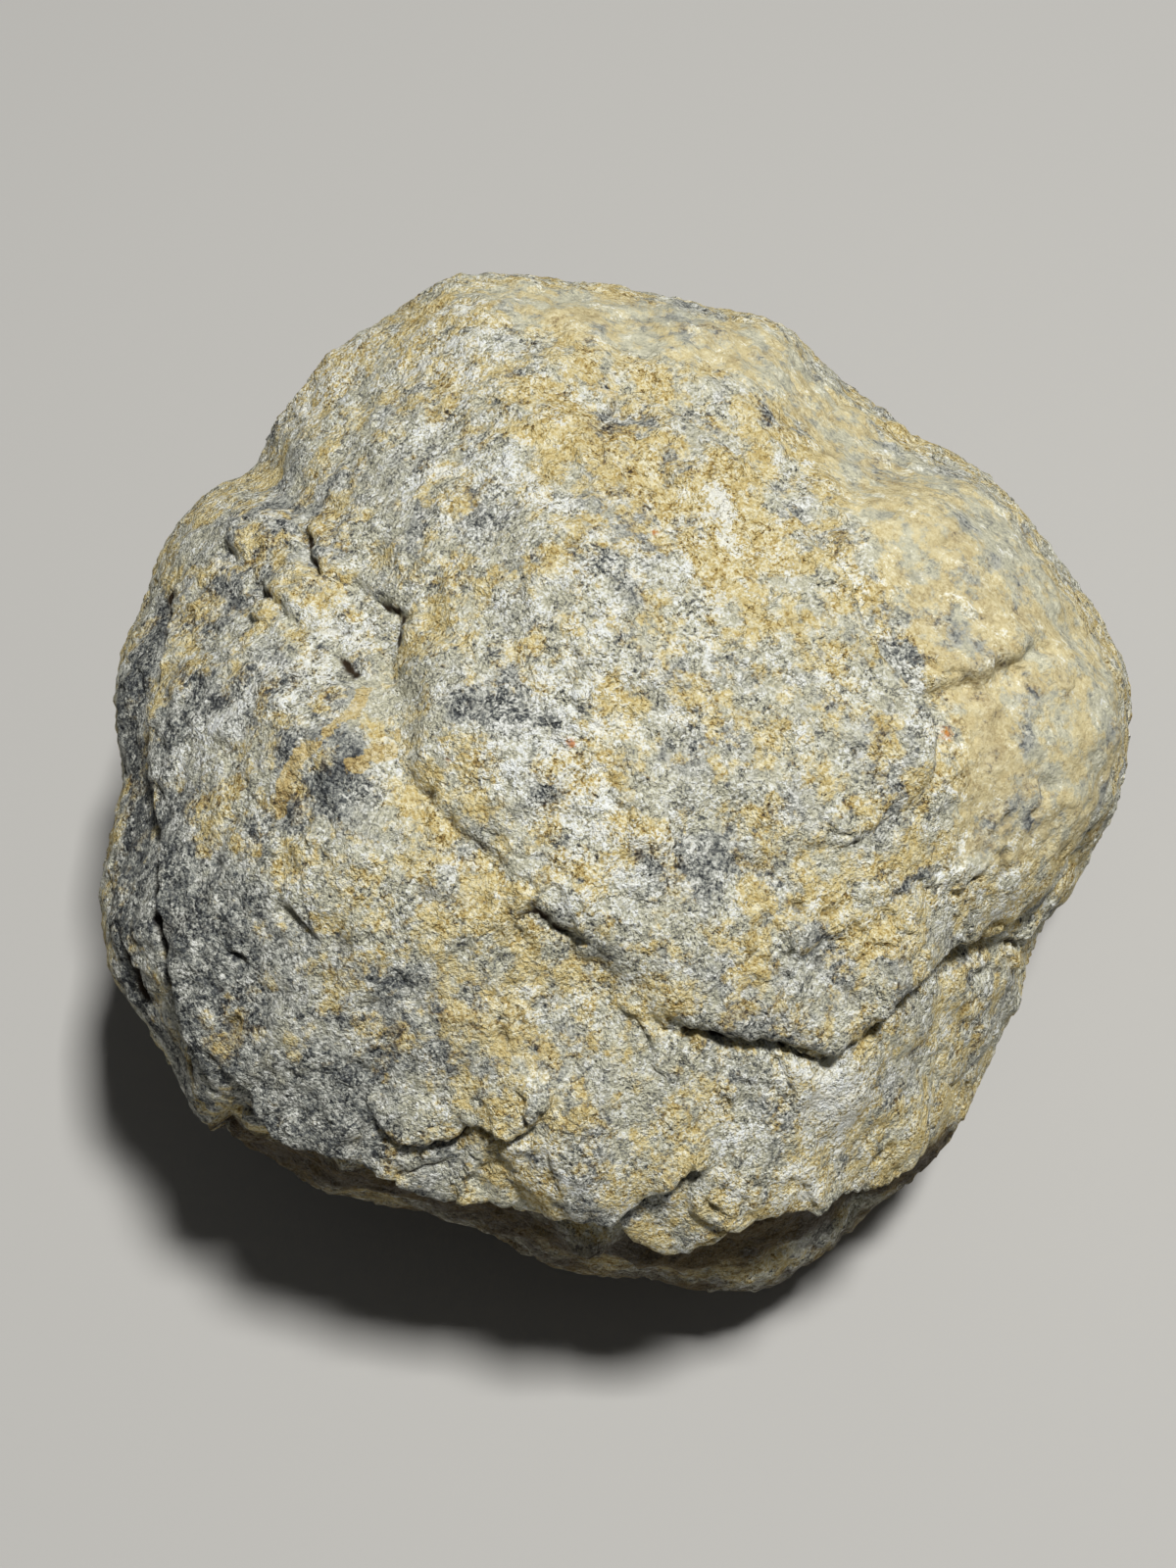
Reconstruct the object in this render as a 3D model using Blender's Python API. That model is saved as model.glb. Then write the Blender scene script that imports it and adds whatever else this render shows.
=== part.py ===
"""A whole quartz geode, unopened: one lumpy, flattened nodule whose rind is made of overlapping
lobes, folds and cracks, standing on a small flat foot. Built in metres, +Z up."""

import math

import bpy
import numpy as np

MM = 0.001

# Driving sizes of the plain dome that the nodule grows from, in millimetres.
HALF_WIDTH = 53.0
HALF_DEPTH = 56.0
CROWN = 71.0  # height of its top
KEEL = -1.9  # height of its lowest point, before the foot is cut flat
WIDEST = 25.0  # height at which it is widest, at its middle
LEAN = -0.25  # how much that height changes per millimetre towards +X
SQUARENESS = 2.2  # exponent of the dome; 2 would be an ellipsoid

# The rind is laid out on one view from the front and above, 1200 wide and 1600 high. Places on
# it are (across, down) in that view, where 9.6 units are a millimetre at the nodule.
VIEW_MIDDLE = np.array((600.0, 800.0))
VIEW_FOCAL = 2400.0
VIEW_ELEVATION = math.radians(62.0)
VIEW_DISTANCE = 250.0
VIEW_TARGET = np.array((-5.4, -5.0, 29.0))
STONE_MIDDLE = np.array((628.0, 799.0))

BALL_SUBDIVISIONS = 7
FACET_SHARE = 0.112  # share of the dense ball's triangles that the finished solid keeps
FOOT_BLOCK = 240.0  # the block that cuts the foot flat, a side
RIM_BEARINGS = 180  # directions across the view in which the outline is measured

# The nodule's outline in the view, clockwise from the top.
OUTLINE = (
    (483, 277), (537, 280), (622, 289), (690, 302), (767, 319), (833, 363), (874, 399),
    (933, 445), (1007, 482), (1055, 534), (1099, 593), (1136, 652), (1155, 704),
    (1151, 778), (1132, 840), (1094, 913), (1055, 967), (1029, 1043), (1002, 1104),
    (960, 1177), (908, 1222), (869, 1259), (805, 1305), (762, 1320), (712, 1320),
    (645, 1304), (556, 1291), (511, 1267), (435, 1236), (331, 1219), (264, 1176),
    (198, 1139), (163, 1069), (125, 1015), (101, 927), (107, 874), (121, 803),
    (116, 719), (134, 636), (162, 564), (212, 501), (264, 471), (291, 414),
    (334, 360), (401, 319), (451, 283),
)

# Lobes and hollows in view: place, radius and height in millimetres, negative for a hollow.
SWELLS = (
    ((640, 660), 31.0, 3.0),  # the middle dome
    ((285, 900), 21.0, 2.4),  # the left lobe
    ((1010, 560), 19.0, 2.6),  # the back lobe on the right
    ((1085, 800), 13.0, 1.6),  # the right lobe
    ((800, 1160), 15.0, 1.6),  # the lobe under the great lip
    ((500, 325), 13.0, 2.0),  # the top lobe
    ((900, 1010), 9.0, 0.9),
    ((560, 1130), 11.0, 0.9),
    ((905, 462), 9.0, -2.4),  # the saddle between the top lobe and the back lobe
    ((600, 1010), 8.0, -2.0),  # the valley below the great lip
    ((375, 650), 6.5, -3.4),  # the hollow where the upper left cracks meet
    ((930, 770), 7.0, 0.8),
    ((575, 388), 4.5, 1.2),
    ((640, 432), 4.0, -1.3),  # a pitted place below the top
)

# Lobes and hollows on the sides out of view: turn from +X about the upright axis and tilt above
# the widest level, both in degrees, then radius and height.
FAR_SWELLS = (
    (62.0, 4.0, 17.0, 2.2),
    (98.0, -18.0, 16.0, 1.8),
    (128.0, 12.0, 15.0, -1.6),
    (150.0, -14.0, 18.0, 2.0),
    (25.0, -24.0, 16.0, 1.8),
    (-70.0, -24.0, 15.0, 2.6),
    (-120.0, -40.0, 15.0, 1.2),
    (80.0, 30.0, 13.0, -1.4),
    (110.0, 36.0, 12.0, 1.5),
    (-160.0, -30.0, 14.0, -1.2),
)

# Folds in view. Each is a line walked so that the lobe on its left stands proud by `rise` and
# the one on its right lies back by `drop`, both fading over `reach`, with a groove of depth
# `cut` and half-width `wide` between them, in millimetres. Where they are given, `fall` is the
# reach on the low side, `roll` the share by which the proud edge is rounded down, and `start`
# and `end` the lengths over which the fold grows from nothing at its ends.
ROLL_REACH = 3.0
GREAT_LIP = dict(rise=2.8, drop=1.7, cut=1.7, wide=0.9, reach=9.0, roll=0.8, start=16.0, line=(
    (520, 905), (545, 927), (572, 942), (600, 957), (622, 985), (650, 1012), (690, 1043),
    (722, 1058), (760, 1067), (800, 1072), (845, 1079), (870, 1079), (905, 1042),
    (940, 1011), (975, 986), (1003, 972), (1030, 963), (1055, 954)))
RIGHT_STEP = dict(rise=1.1, drop=1.2, cut=0.5, wide=1.6, reach=6.0, line=(
    (950, 815), (966, 785), (970, 741), (955, 697), (915, 660), (889, 611), (852, 556),
    (800, 493), (748, 445), (689, 408), (640, 385), (600, 372)))
RIGHT_TERRACE = dict(rise=0.5, drop=0.6, cut=0.3, wide=1.2, reach=4.0, line=(
    (837, 863), (887, 840), (937, 821), (967, 790)))
RIGHT_LEDGE = dict(rise=0.5, drop=0.8, cut=0.7, wide=1.0, reach=4.0, line=(
    (880, 940), (906, 905), (933, 890)))
BACK_GROOVE = dict(rise=0.9, drop=1.0, cut=1.6, wide=1.5, reach=6.0, line=(
    (955, 715), (970, 696), (1000, 695), (1020, 690), (1050, 675), (1077, 643), (1100, 625)))
LEFT_VALLEY = dict(rise=0.0, drop=0.0, cut=2.0, wide=3.2, reach=5.0, line=(
    (400, 690), (405, 740), (410, 777), (432, 800), (463, 829), (486, 858), (512, 878),
    (540, 902)))
LEFT_CRACK = dict(rise=0.8, drop=2.4, cut=3.4, wide=1.1, reach=6.0, line=(
    (160, 590), (153, 645), (147, 700), (145, 760), (146, 850), (151, 915), (158, 975),
    (170, 1018), (186, 1060), (197, 1092), (207, 1115)))
OUTER_CRACK = dict(rise=0.3, drop=0.7, cut=1.2, wide=1.0, reach=3.0, line=(
    (118, 962), (126, 990), (140, 1022), (150, 1045)))
UPPER_LEFT_CRACK = dict(rise=0.4, drop=0.4, cut=1.2, wide=1.2, reach=3.5, line=(
    (318, 637), (308, 638), (297, 632), (280, 618), (262, 603), (244, 588)))
HOLLOW_CRACK = dict(rise=0.9, drop=0.5, cut=1.6, wide=1.2, reach=4.0, line=(
    (400, 665), (408, 645), (412, 625), (405, 618), (390, 612), (372, 603), (360, 590)))
SHOULDER_CRACK = dict(rise=0.4, drop=0.5, cut=0.7, wide=1.2, reach=3.0, line=(
    (310, 538), (313, 560), (322, 577), (333, 583)))
CORNER_CRACK = dict(rise=0.3, drop=0.5, cut=0.6, wide=1.2, reach=3.0, line=(
    (234, 521), (228, 546), (230, 567), (248, 578)))
LEFT_LOBE_CRACK = dict(rise=0.3, drop=0.4, cut=0.8, wide=1.2, reach=2.5, line=(
    (270, 923), (295, 933), (314, 946), (330, 967)))
FRONT_FOLD_LEFT = dict(rise=0.8, drop=1.1, cut=1.1, wide=1.1, reach=4.5, line=(
    (374, 1132), (404, 1150), (441, 1162), (470, 1160), (499, 1147), (526, 1152),
    (541, 1143), (553, 1137), (585, 1105)))
FRONT_FOLD_MIDDLE = dict(rise=0.5, drop=0.9, cut=1.2, wide=1.1, reach=3.5, line=(
    (624, 1225), (651, 1219), (667, 1207), (691, 1201), (706, 1192), (740, 1207)))
FRONT_FOLD_LOW = dict(rise=0.5, drop=0.9, cut=1.2, wide=1.0, reach=3.0, line=(
    (596, 1244), (615, 1243), (631, 1259), (651, 1274), (679, 1281), (706, 1276)))
LOBE_FOLD = dict(rise=0.4, drop=0.6, cut=0.8, wide=1.1, reach=3.5, line=(
    (760, 1110), (790, 1112), (805, 1150)))
FRONT_BROW = dict(rise=1.8, drop=2.2, cut=0.3, wide=1.3, reach=7.0, fall=22.0, line=(
    (207, 1115), (251, 1160), (288, 1180), (331, 1192), (374, 1191), (404, 1197), (435, 1212),
    (472, 1219), (508, 1226), (557, 1242), (600, 1262), (640, 1285), (679, 1287), (706, 1280),
    (743, 1265), (786, 1244), (841, 1222), (887, 1204), (924, 1189), (957, 1167)))
RIM_NOTCH = dict(rise=0.3, drop=0.6, cut=1.8, wide=1.3, reach=3.0, line=(
    (1066, 915), (1083, 908), (1103, 880), (1109, 859), (1128, 840)))
RIGHT_GROOVE = dict(rise=0.3, drop=0.4, cut=0.6, wide=1.3, reach=3.0, line=(
    (1063, 806), (1079, 797), (1094, 783)))
TOP_CRACK = dict(rise=0.3, drop=0.5, cut=0.4, wide=1.2, reach=2.5, line=(
    (667, 471), (681, 486), (696, 497), (707, 500)))
DOME_KNOB = dict(rise=0.5, drop=0.5, cut=0.2, wide=1.3, reach=3.5, line=(
    (755, 759), (785, 743), (807, 752), (822, 770)))
DOME_CRACK = dict(rise=0.3, drop=0.4, cut=0.4, wide=1.2, reach=3.0, line=(
    (575, 655), (600, 675), (622, 689), (641, 700)))

SEEN_FOLDS = (
    GREAT_LIP, RIGHT_STEP, RIGHT_TERRACE, RIGHT_LEDGE, BACK_GROOVE, LEFT_VALLEY, LEFT_CRACK,
    OUTER_CRACK, UPPER_LEFT_CRACK, HOLLOW_CRACK, SHOULDER_CRACK, CORNER_CRACK, LEFT_LOBE_CRACK,
    FRONT_FOLD_LEFT, FRONT_FOLD_MIDDLE, FRONT_FOLD_LOW, LOBE_FOLD, FRONT_BROW, RIM_NOTCH,
    RIGHT_GROOVE, TOP_CRACK, DOME_KNOB, DOME_CRACK,
)

# Folds on the sides out of view, their lines as (turn, tilt) in degrees.
FAR_FOLDS = (
    dict(rise=1.2, drop=1.8, cut=1.8, wide=1.2, reach=7.0, line=(
        (40.0, -6.0), (58.0, -14.0), (76.0, -12.0), (94.0, -3.0), (110.0, 2.0), (124.0, -2.0))),
    dict(rise=0.8, drop=1.4, cut=1.6, wide=1.2, reach=6.0, line=(
        (140.0, 14.0), (150.0, 2.0), (164.0, -6.0), (180.0, -10.0), (196.0, -20.0))),
    dict(rise=0.6, drop=1.0, cut=1.2, wide=1.1, reach=5.0, line=(
        (-20.0, -18.0), (-2.0, -26.0), (16.0, -30.0), (34.0, -28.0))),
    dict(rise=0.6, drop=1.0, cut=1.3, wide=1.1, reach=5.0, line=(
        (100.0, 30.0), (92.0, 18.0), (84.0, 8.0))),
    dict(rise=0.6, drop=0.9, cut=1.2, wide=1.1, reach=5.0, line=(
        (-130.0, -26.0), (-108.0, -34.0), (-88.0, -30.0), (-70.0, -36.0))),
)

# Lumps all over, coarse to fine: size and height in millimetres, and a seed.
LUMPS = (
    (19.0, 1.5, 11),
    (9.0, 0.85, 12),
    (4.6, 0.36, 13),
)
WANDER = (6.0, 0.7, 21)  # how the folds stray from their lines: size, distance and seed
FAR_LUMP_GAIN = 1.5  # lumps are this much higher out of view
FOOT_CALM = (6.0, 16.0)  # between these heights the lumps grow from calm to full

RIND = "weathered rind"
RIND_COLOR = (0.47, 0.42, 0.29, 1.0)
RIND_ROUGHNESS = 0.92

TOWARDS_EYE = np.array((0.0, -math.cos(VIEW_ELEVATION), math.sin(VIEW_ELEVATION)))
VIEW_RIGHT = np.array((1.0, 0.0, 0.0))
VIEW_UP = np.array((0.0, math.sin(VIEW_ELEVATION), math.cos(VIEW_ELEVATION)))
EYE = VIEW_TARGET + VIEW_DISTANCE * TOWARDS_EYE


def hashed(cells, seed):
    """A repeatable number from -1 to 1 for every cell of whole numbers."""
    mixed = cells[:, 0] * np.uint32(374761393) + cells[:, 1] * np.uint32(668265263)
    mixed = mixed + cells[:, 2] * np.uint32(2246822519) + np.uint32(seed * 7919 + 17)
    mixed = (mixed ^ (mixed >> np.uint32(13))) * np.uint32(1274126177)
    mixed = (mixed ^ (mixed >> np.uint32(16))) * np.uint32(2654435769)
    mixed = mixed ^ (mixed >> np.uint32(15))
    return mixed.astype(np.float64) / 2147483647.5 - 1.0


def noise(points, seed):
    """Smooth noise, about -1 to 1: sloping values from a cell's eight corners, blended."""
    base = np.floor(points)
    inside = points - base
    blend = inside ** 3 * (inside * (inside * 6.0 - 15.0) + 10.0)
    total = np.zeros(len(points))
    for corner in range(8):
        step = np.array((corner & 1, corner >> 1 & 1, corner >> 2 & 1))
        cells = (base + step).astype(np.int64).astype(np.uint32)
        away = inside - step
        value = np.zeros(len(points))
        for axis in range(3):
            value += hashed(cells, seed * 3 + axis) * away[:, axis]
        total += value * np.prod(np.where(step, blend, 1.0 - blend), axis=1)
    return total * 1.5


def eased(low, high, values):
    """0 below low, 1 above high, and a smooth ramp between."""
    share = np.clip((values - low) / (high - low), 0.0, 1.0)
    return share * share * (3.0 - 2.0 * share)


def widest_at(across):
    """The height at which the dome is widest, and its extents from there to crown and keel."""
    level = WIDEST + LEAN * across
    return level, CROWN - level, level - KEEL


def on_dome(ways):
    """The points of the plain dome that lie in these directions on a ball."""
    reach = np.sum(np.abs(ways) ** SQUARENESS, axis=1) ** (-1.0 / SQUARENESS)
    unit = ways * reach[:, None]
    level, above, below = widest_at(HALF_WIDTH * unit[:, 0])
    upright = level + unit[:, 2] * np.where(unit[:, 2] > 0.0, above, below)
    return np.stack((HALF_WIDTH * unit[:, 0], HALF_DEPTH * unit[:, 1], upright), axis=1)


def in_unit(points):
    """Points in the frame in which the plain dome is a unit ball with squared-off flanks."""
    level, above, below = widest_at(points[:, 0])
    rise = points[:, 2] - level
    share = rise / np.where(rise > 0.0, above, below)
    return np.stack((points[:, 0] / HALF_WIDTH, points[:, 1] / HALF_DEPTH, share), axis=1)


def dome_facing(points):
    """The plain dome's outward directions at points on it."""
    level, above, below = widest_at(points[:, 0])
    unit = in_unit(points)
    span = np.where(unit[:, 2] > 0.0, above, below)
    slope = np.sign(unit) * np.abs(unit) ** (SQUARENESS - 1.0)
    lean = LEAN * (1.0 - np.abs(unit[:, 2])) / span
    facing = np.stack((slope[:, 0] / HALF_WIDTH - slope[:, 2] * lean,
                       slope[:, 1] / HALF_DEPTH, slope[:, 2] / span), axis=1)
    return facing / np.linalg.norm(facing, axis=1, keepdims=True)


def way(turn, tilt):
    """The direction with this turn from +X and this tilt above level, in degrees."""
    turn = math.radians(turn)
    tilt = math.radians(tilt)
    return math.cos(tilt) * math.cos(turn), math.cos(tilt) * math.sin(turn), math.sin(tilt)


def seen(points):
    """Places in the view where points show, and their depths."""
    away = points - EYE
    depth = -(away @ TOWARDS_EYE)
    across = np.stack((away @ VIEW_RIGHT, -(away @ VIEW_UP)), axis=1)
    return VIEW_MIDDLE + VIEW_FOCAL * across / depth[:, None], depth


def unseen(places, depth):
    """The points that show at these places and lie at these depths."""
    across = (places - VIEW_MIDDLE) / VIEW_FOCAL
    ways = across[:, :1] * VIEW_RIGHT - across[:, 1:] * VIEW_UP - TOWARDS_EYE
    return EYE + depth[:, None] * ways


def bearings(offsets):
    """The direction of offsets across the view, in steps of the rim table."""
    turns = np.arctan2(offsets[:, 1], offsets[:, 0]) / (2.0 * math.pi)
    return turns % 1.0 * RIM_BEARINGS


def smoothed(rim, width):
    """A rim table averaged over its neighbours."""
    shifts = np.arange(-math.ceil(3.0 * width), math.ceil(3.0 * width) + 1)
    weights = np.exp(-(shifts / width) ** 2)
    total = sum(weight * np.roll(rim, shift) for weight, shift in zip(weights, shifts))
    return total / weights.sum()


def rim_at(rim, offsets):
    """A rim table read at the bearings of offsets."""
    return np.interp(bearings(offsets), np.arange(RIM_BEARINGS), rim, period=RIM_BEARINGS)


def outline_rim():
    """The outline's distance from the stone's middle at every bearing."""
    corners = np.array(OUTLINE + OUTLINE[:1], dtype=float) - STONE_MIDDLE
    shares = np.linspace(0.0, 1.0, 24, endpoint=False)[:, None, None]
    dense = (corners[:-1] * (1.0 - shares) + corners[1:] * shares).reshape(-1, 2)
    order = np.argsort(bearings(dense))
    reach = np.linalg.norm(dense, axis=1)
    rim = np.interp(np.arange(RIM_BEARINGS), bearings(dense)[order], reach[order],
                    period=RIM_BEARINGS)
    return smoothed(rim, 1.2)


def body_rim(points):
    """The farthest that points show from the stone's middle at every bearing."""
    offsets = seen(points)[0] - STONE_MIDDLE
    rim = np.zeros(RIM_BEARINGS)
    steps = np.round(bearings(offsets)).astype(int) % RIM_BEARINGS
    np.maximum.at(rim, steps, np.linalg.norm(offsets, axis=1))
    return smoothed(rim, 1.2)


def fitted(points, plain_rim, wanted_rim):
    """Points spread across the line of sight, so that the rim they show is the wanted one."""
    places, depth = seen(points)
    offsets = places - STONE_MIDDLE
    shown_rim = body_rim(points)
    inner = rim_at(wanted_rim / plain_rim, offsets)
    outer = rim_at(wanted_rim / shown_rim, offsets)
    share = eased(0.55, 1.0, np.linalg.norm(offsets, axis=1) / rim_at(shown_rim, offsets))
    spread = inner + (outer - inner) * share
    return unseen(STONE_MIDDLE + offsets * spread[:, None], depth)


def first_met(places):
    """Where the lines of sight through places first meet the plain dome, or pass closest."""
    places = np.asarray(places, dtype=float)
    met = np.zeros(len(places))
    lowest = np.full(len(places), np.inf)
    for depth in np.arange(VIEW_DISTANCE - 75.0, VIEW_DISTANCE + 75.0, 0.25):
        unit = in_unit(unseen(places, np.full(len(places), depth)))
        level = np.sum(np.abs(unit) ** SQUARENESS, axis=1)
        nearer = (lowest > 1.0) & (level < lowest)
        met[nearer] = depth
        lowest[nearer] = level[nearer]
    return on_dome(in_unit(unseen(places, met)))


def swell_height(points, swells):
    """The height of the lobes and hollows at points of the plain dome."""
    height = np.zeros(len(points))
    for middle, radius, rise in swells:
        gap = np.sum((points - middle) ** 2, axis=1)
        height += rise * np.exp(-gap / radius ** 2)
    return height


def fold_height(points, facing, fold, line):
    """The height of one fold at points of the plain dome."""
    nearest = np.full(len(points), np.inf)
    side = np.zeros(len(points))
    course = np.zeros(len(points))
    walked = 0.0
    for start, end in zip(line[:-1], line[1:]):
        run = end - start
        length = np.linalg.norm(run)
        away = points - start
        share = np.clip(away @ run / length ** 2, 0.0, 1.0)
        gap = away - share[:, None] * run
        distance = np.linalg.norm(gap, axis=1)
        better = distance < nearest
        left = np.sum(gap * np.cross(facing, run / length), axis=1)
        nearest[better] = distance[better]
        side[better] = left[better]
        course[better] = walked + share[better] * length
        walked += length
    ease = min(5.0, walked / 3.0)
    start = eased(0.0, fold.get("start", ease), course)
    end = eased(0.0, fold.get("end", ease), walked - course)
    share = 0.5 + 0.5 * np.tanh(side / (0.5 * fold["wide"]))
    proud = fold["rise"] * np.exp(-nearest / fold["reach"])
    proud *= 1.0 - fold.get("roll", 0.0) * np.exp(-nearest / ROLL_REACH)
    low = -fold["drop"] * np.exp(-nearest / fold.get("fall", fold["reach"]))
    groove = fold["cut"] * np.exp(-(nearest / fold["wide"]) ** 2)
    return start * end * (low + (proud - low) * share - groove)


def softened(line):
    """A line with its corners rounded off."""
    line = np.asarray(line, dtype=float)
    quarter = line[:-1] * 0.75 + line[1:] * 0.25
    three_quarter = line[:-1] * 0.25 + line[1:] * 0.75
    cut = np.stack((quarter, three_quarter), axis=1).reshape(-1, line.shape[1])
    return np.concatenate((line[:1], cut, line[-1:]))


class Rind:
    """The nodule's whole surface: where each point of a ball goes."""

    def __init__(self, ball):
        self.wanted_rim = outline_rim()
        self.plain_rim = body_rim(on_dome(ball))
        self.swells = [(first_met(self.unspread([place]))[0], radius, rise)
                       for place, radius, rise in SWELLS]
        self.swells += [(on_dome(np.array([way(turn, tilt)]))[0], radius, rise)
                        for turn, tilt, radius, rise in FAR_SWELLS]
        self.folds = [(fold, self.carried(softened(fold["line"]), fold["rise"]))
                      for fold in SEEN_FOLDS]
        for fold in FAR_FOLDS:
            ways = np.array([way(turn, tilt) for turn, tilt in softened(fold["line"])])
            self.folds.append((fold, on_dome(ways)))

    def unspread(self, places):
        """Where places in the view lie before the nodule is fitted to its outline."""
        offsets = np.asarray(places, dtype=float) - STONE_MIDDLE
        return STONE_MIDDLE + offsets / rim_at(self.wanted_rim / self.plain_rim, offsets)[:, None]

    def carried(self, places, rise):
        """Places in the view carried onto the plain dome, allowing for its lobes and a rise."""
        goal = self.unspread(places)
        aim = goal.copy()
        for _ in range(3):
            points = first_met(aim)
            height = swell_height(points, self.swells) + rise
            aim += goal - seen(points + dome_facing(points) * height[:, None])[0]
        return first_met(aim)

    def shaped(self, ball):
        """The points of the finished nodule in the directions of the ball."""
        points = on_dome(ball)
        facing = dome_facing(points)
        size, distance, seed = WANDER
        stray = np.stack([noise(points / size, seed + axis) for axis in range(3)], axis=1)
        height = swell_height(points, self.swells)
        for fold, line in self.folds:
            height += fold_height(points + stray * distance, facing, fold, line)
        lumps = sum(rise * noise(points / size, seed) for size, rise, seed in LUMPS)
        lumps *= 1.0 + (FAR_LUMP_GAIN - 1.0) * eased(0.1, -0.5, facing @ TOWARDS_EYE)
        lumps *= 0.3 + 0.7 * eased(*FOOT_CALM, points[:, 2])
        height += lumps
        return fitted(points + facing * height[:, None], self.plain_rim, self.wanted_rim)


def new_collection(name):
    """A collection in the scene."""
    collection = bpy.data.collections.new(name)
    bpy.context.scene.collection.children.link(collection)
    return collection


def moved_to(thing, collection):
    """Put an object in one collection only."""
    for old in list(thing.users_collection):
        old.objects.unlink(thing)
    collection.objects.link(thing)


def rind_material():
    """The matt clay-coloured rind."""
    material = bpy.data.materials.new(RIND)
    material.use_nodes = True
    shader = material.node_tree.nodes["Principled BSDF"]
    shader.inputs["Base Color"].default_value = RIND_COLOR
    shader.inputs["Roughness"].default_value = RIND_ROUGHNESS
    material.diffuse_color = RIND_COLOR
    return material


def foot_block():
    """The block whose top face cuts the foot flat at height zero."""
    bpy.ops.mesh.primitive_cube_add(size=FOOT_BLOCK * MM, location=(0.0, 0.0, -FOOT_BLOCK / 2 * MM))
    block = bpy.context.object
    block.name = "foot_block"
    block.hide_render = True
    block.display_type = "WIRE"
    return block


def nodule(block):
    """The nodule: a ball of even triangles, shaped, thinned out and cut flat at the foot."""
    bpy.ops.mesh.primitive_ico_sphere_add(subdivisions=BALL_SUBDIVISIONS, radius=1.0)
    stone = bpy.context.object
    stone.name = "geode"
    stone.data.name = "geode"
    count = len(stone.data.vertices)
    ball = np.empty(count * 3)
    stone.data.vertices.foreach_get("co", ball)
    ball = ball.reshape(count, 3)
    ball /= np.linalg.norm(ball, axis=1, keepdims=True)
    points = Rind(ball).shaped(ball)
    middle = (points.min(axis=0) + points.max(axis=0)) / 2.0
    points[:, :2] -= middle[:2]
    stone.data.vertices.foreach_set("co", (points * MM).ravel())
    stone.data.update()
    thin = stone.modifiers.new("thinned", "DECIMATE")
    thin.decimate_type = "COLLAPSE"
    thin.ratio = FACET_SHARE
    cut = stone.modifiers.new("foot", "BOOLEAN")
    cut.operation = "DIFFERENCE"
    cut.solver = "EXACT"
    cut.object = block
    return stone


def main():
    for thing in list(bpy.data.objects):
        bpy.data.objects.remove(thing, do_unlink=True)
    block = foot_block()
    stone = nodule(block)
    stone.data.materials.append(rind_material())
    moved_to(stone, new_collection("quartz_geode"))
    moved_to(block, new_collection("cutters"))


main()
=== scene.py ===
# A whole quartz geode, unopened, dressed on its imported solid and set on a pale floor.
import math

import bpy
import numpy as np
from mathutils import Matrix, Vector


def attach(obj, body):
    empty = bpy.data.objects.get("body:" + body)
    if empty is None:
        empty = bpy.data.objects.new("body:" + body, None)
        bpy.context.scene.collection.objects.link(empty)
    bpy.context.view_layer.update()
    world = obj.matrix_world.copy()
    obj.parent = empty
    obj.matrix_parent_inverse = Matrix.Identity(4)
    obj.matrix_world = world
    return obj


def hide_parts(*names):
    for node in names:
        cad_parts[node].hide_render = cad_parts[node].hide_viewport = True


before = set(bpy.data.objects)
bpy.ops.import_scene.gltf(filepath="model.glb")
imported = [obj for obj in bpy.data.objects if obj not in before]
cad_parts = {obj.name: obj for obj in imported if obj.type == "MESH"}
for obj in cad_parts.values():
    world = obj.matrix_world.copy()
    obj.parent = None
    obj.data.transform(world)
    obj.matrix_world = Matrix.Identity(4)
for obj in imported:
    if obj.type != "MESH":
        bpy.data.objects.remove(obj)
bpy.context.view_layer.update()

mm = 0.001

# The view in which the rind is laid out: 1200 wide and 1600 high, 9.6 units to a millimetre.
# Places on it are (across, down). Lengths in this script are millimetres.
view = dict(middle=(600.0, 800.0), focal=2400.0, elevation=62.0, distance=250.0,
            target=(-5.4, -5.0, 29.0), lens=54.0, sensor=36.0, nearest=10.0)

# The dome that the stone grows from, how it is fitted to the outline (steps of the rim table,
# the bell in degrees that smooths it and the share of the way out where its pull begins), how
# far and how finely lines of sight are searched, and the grid that covers it.
stone = dict(halfWidth=53.0, halfDepth=56.0, crown=71.0, keel=-1.9, widest=25.0, lean=-0.25,
             squareness=2.2, middle=(628.0, 799.0), bearings=360, rimBell=1.2, pullStart=0.55,
             sightReach=75.0, sightStep=0.25, cells=300, quickCells=128, triangles=196000,
             spare=1000)

viewMiddle = np.array(view["middle"])
viewTarget = np.array(view["target"])
tilt = math.radians(view["elevation"])
towardsEye = np.array((0.0, -math.cos(tilt), math.sin(tilt)))
viewRight = np.array((1.0, 0.0, 0.0))
viewUp = np.array((0.0, math.sin(tilt), math.cos(tilt)))
eye = viewTarget + view["distance"] * towardsEye
stoneMiddle = np.array(stone["middle"])


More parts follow.
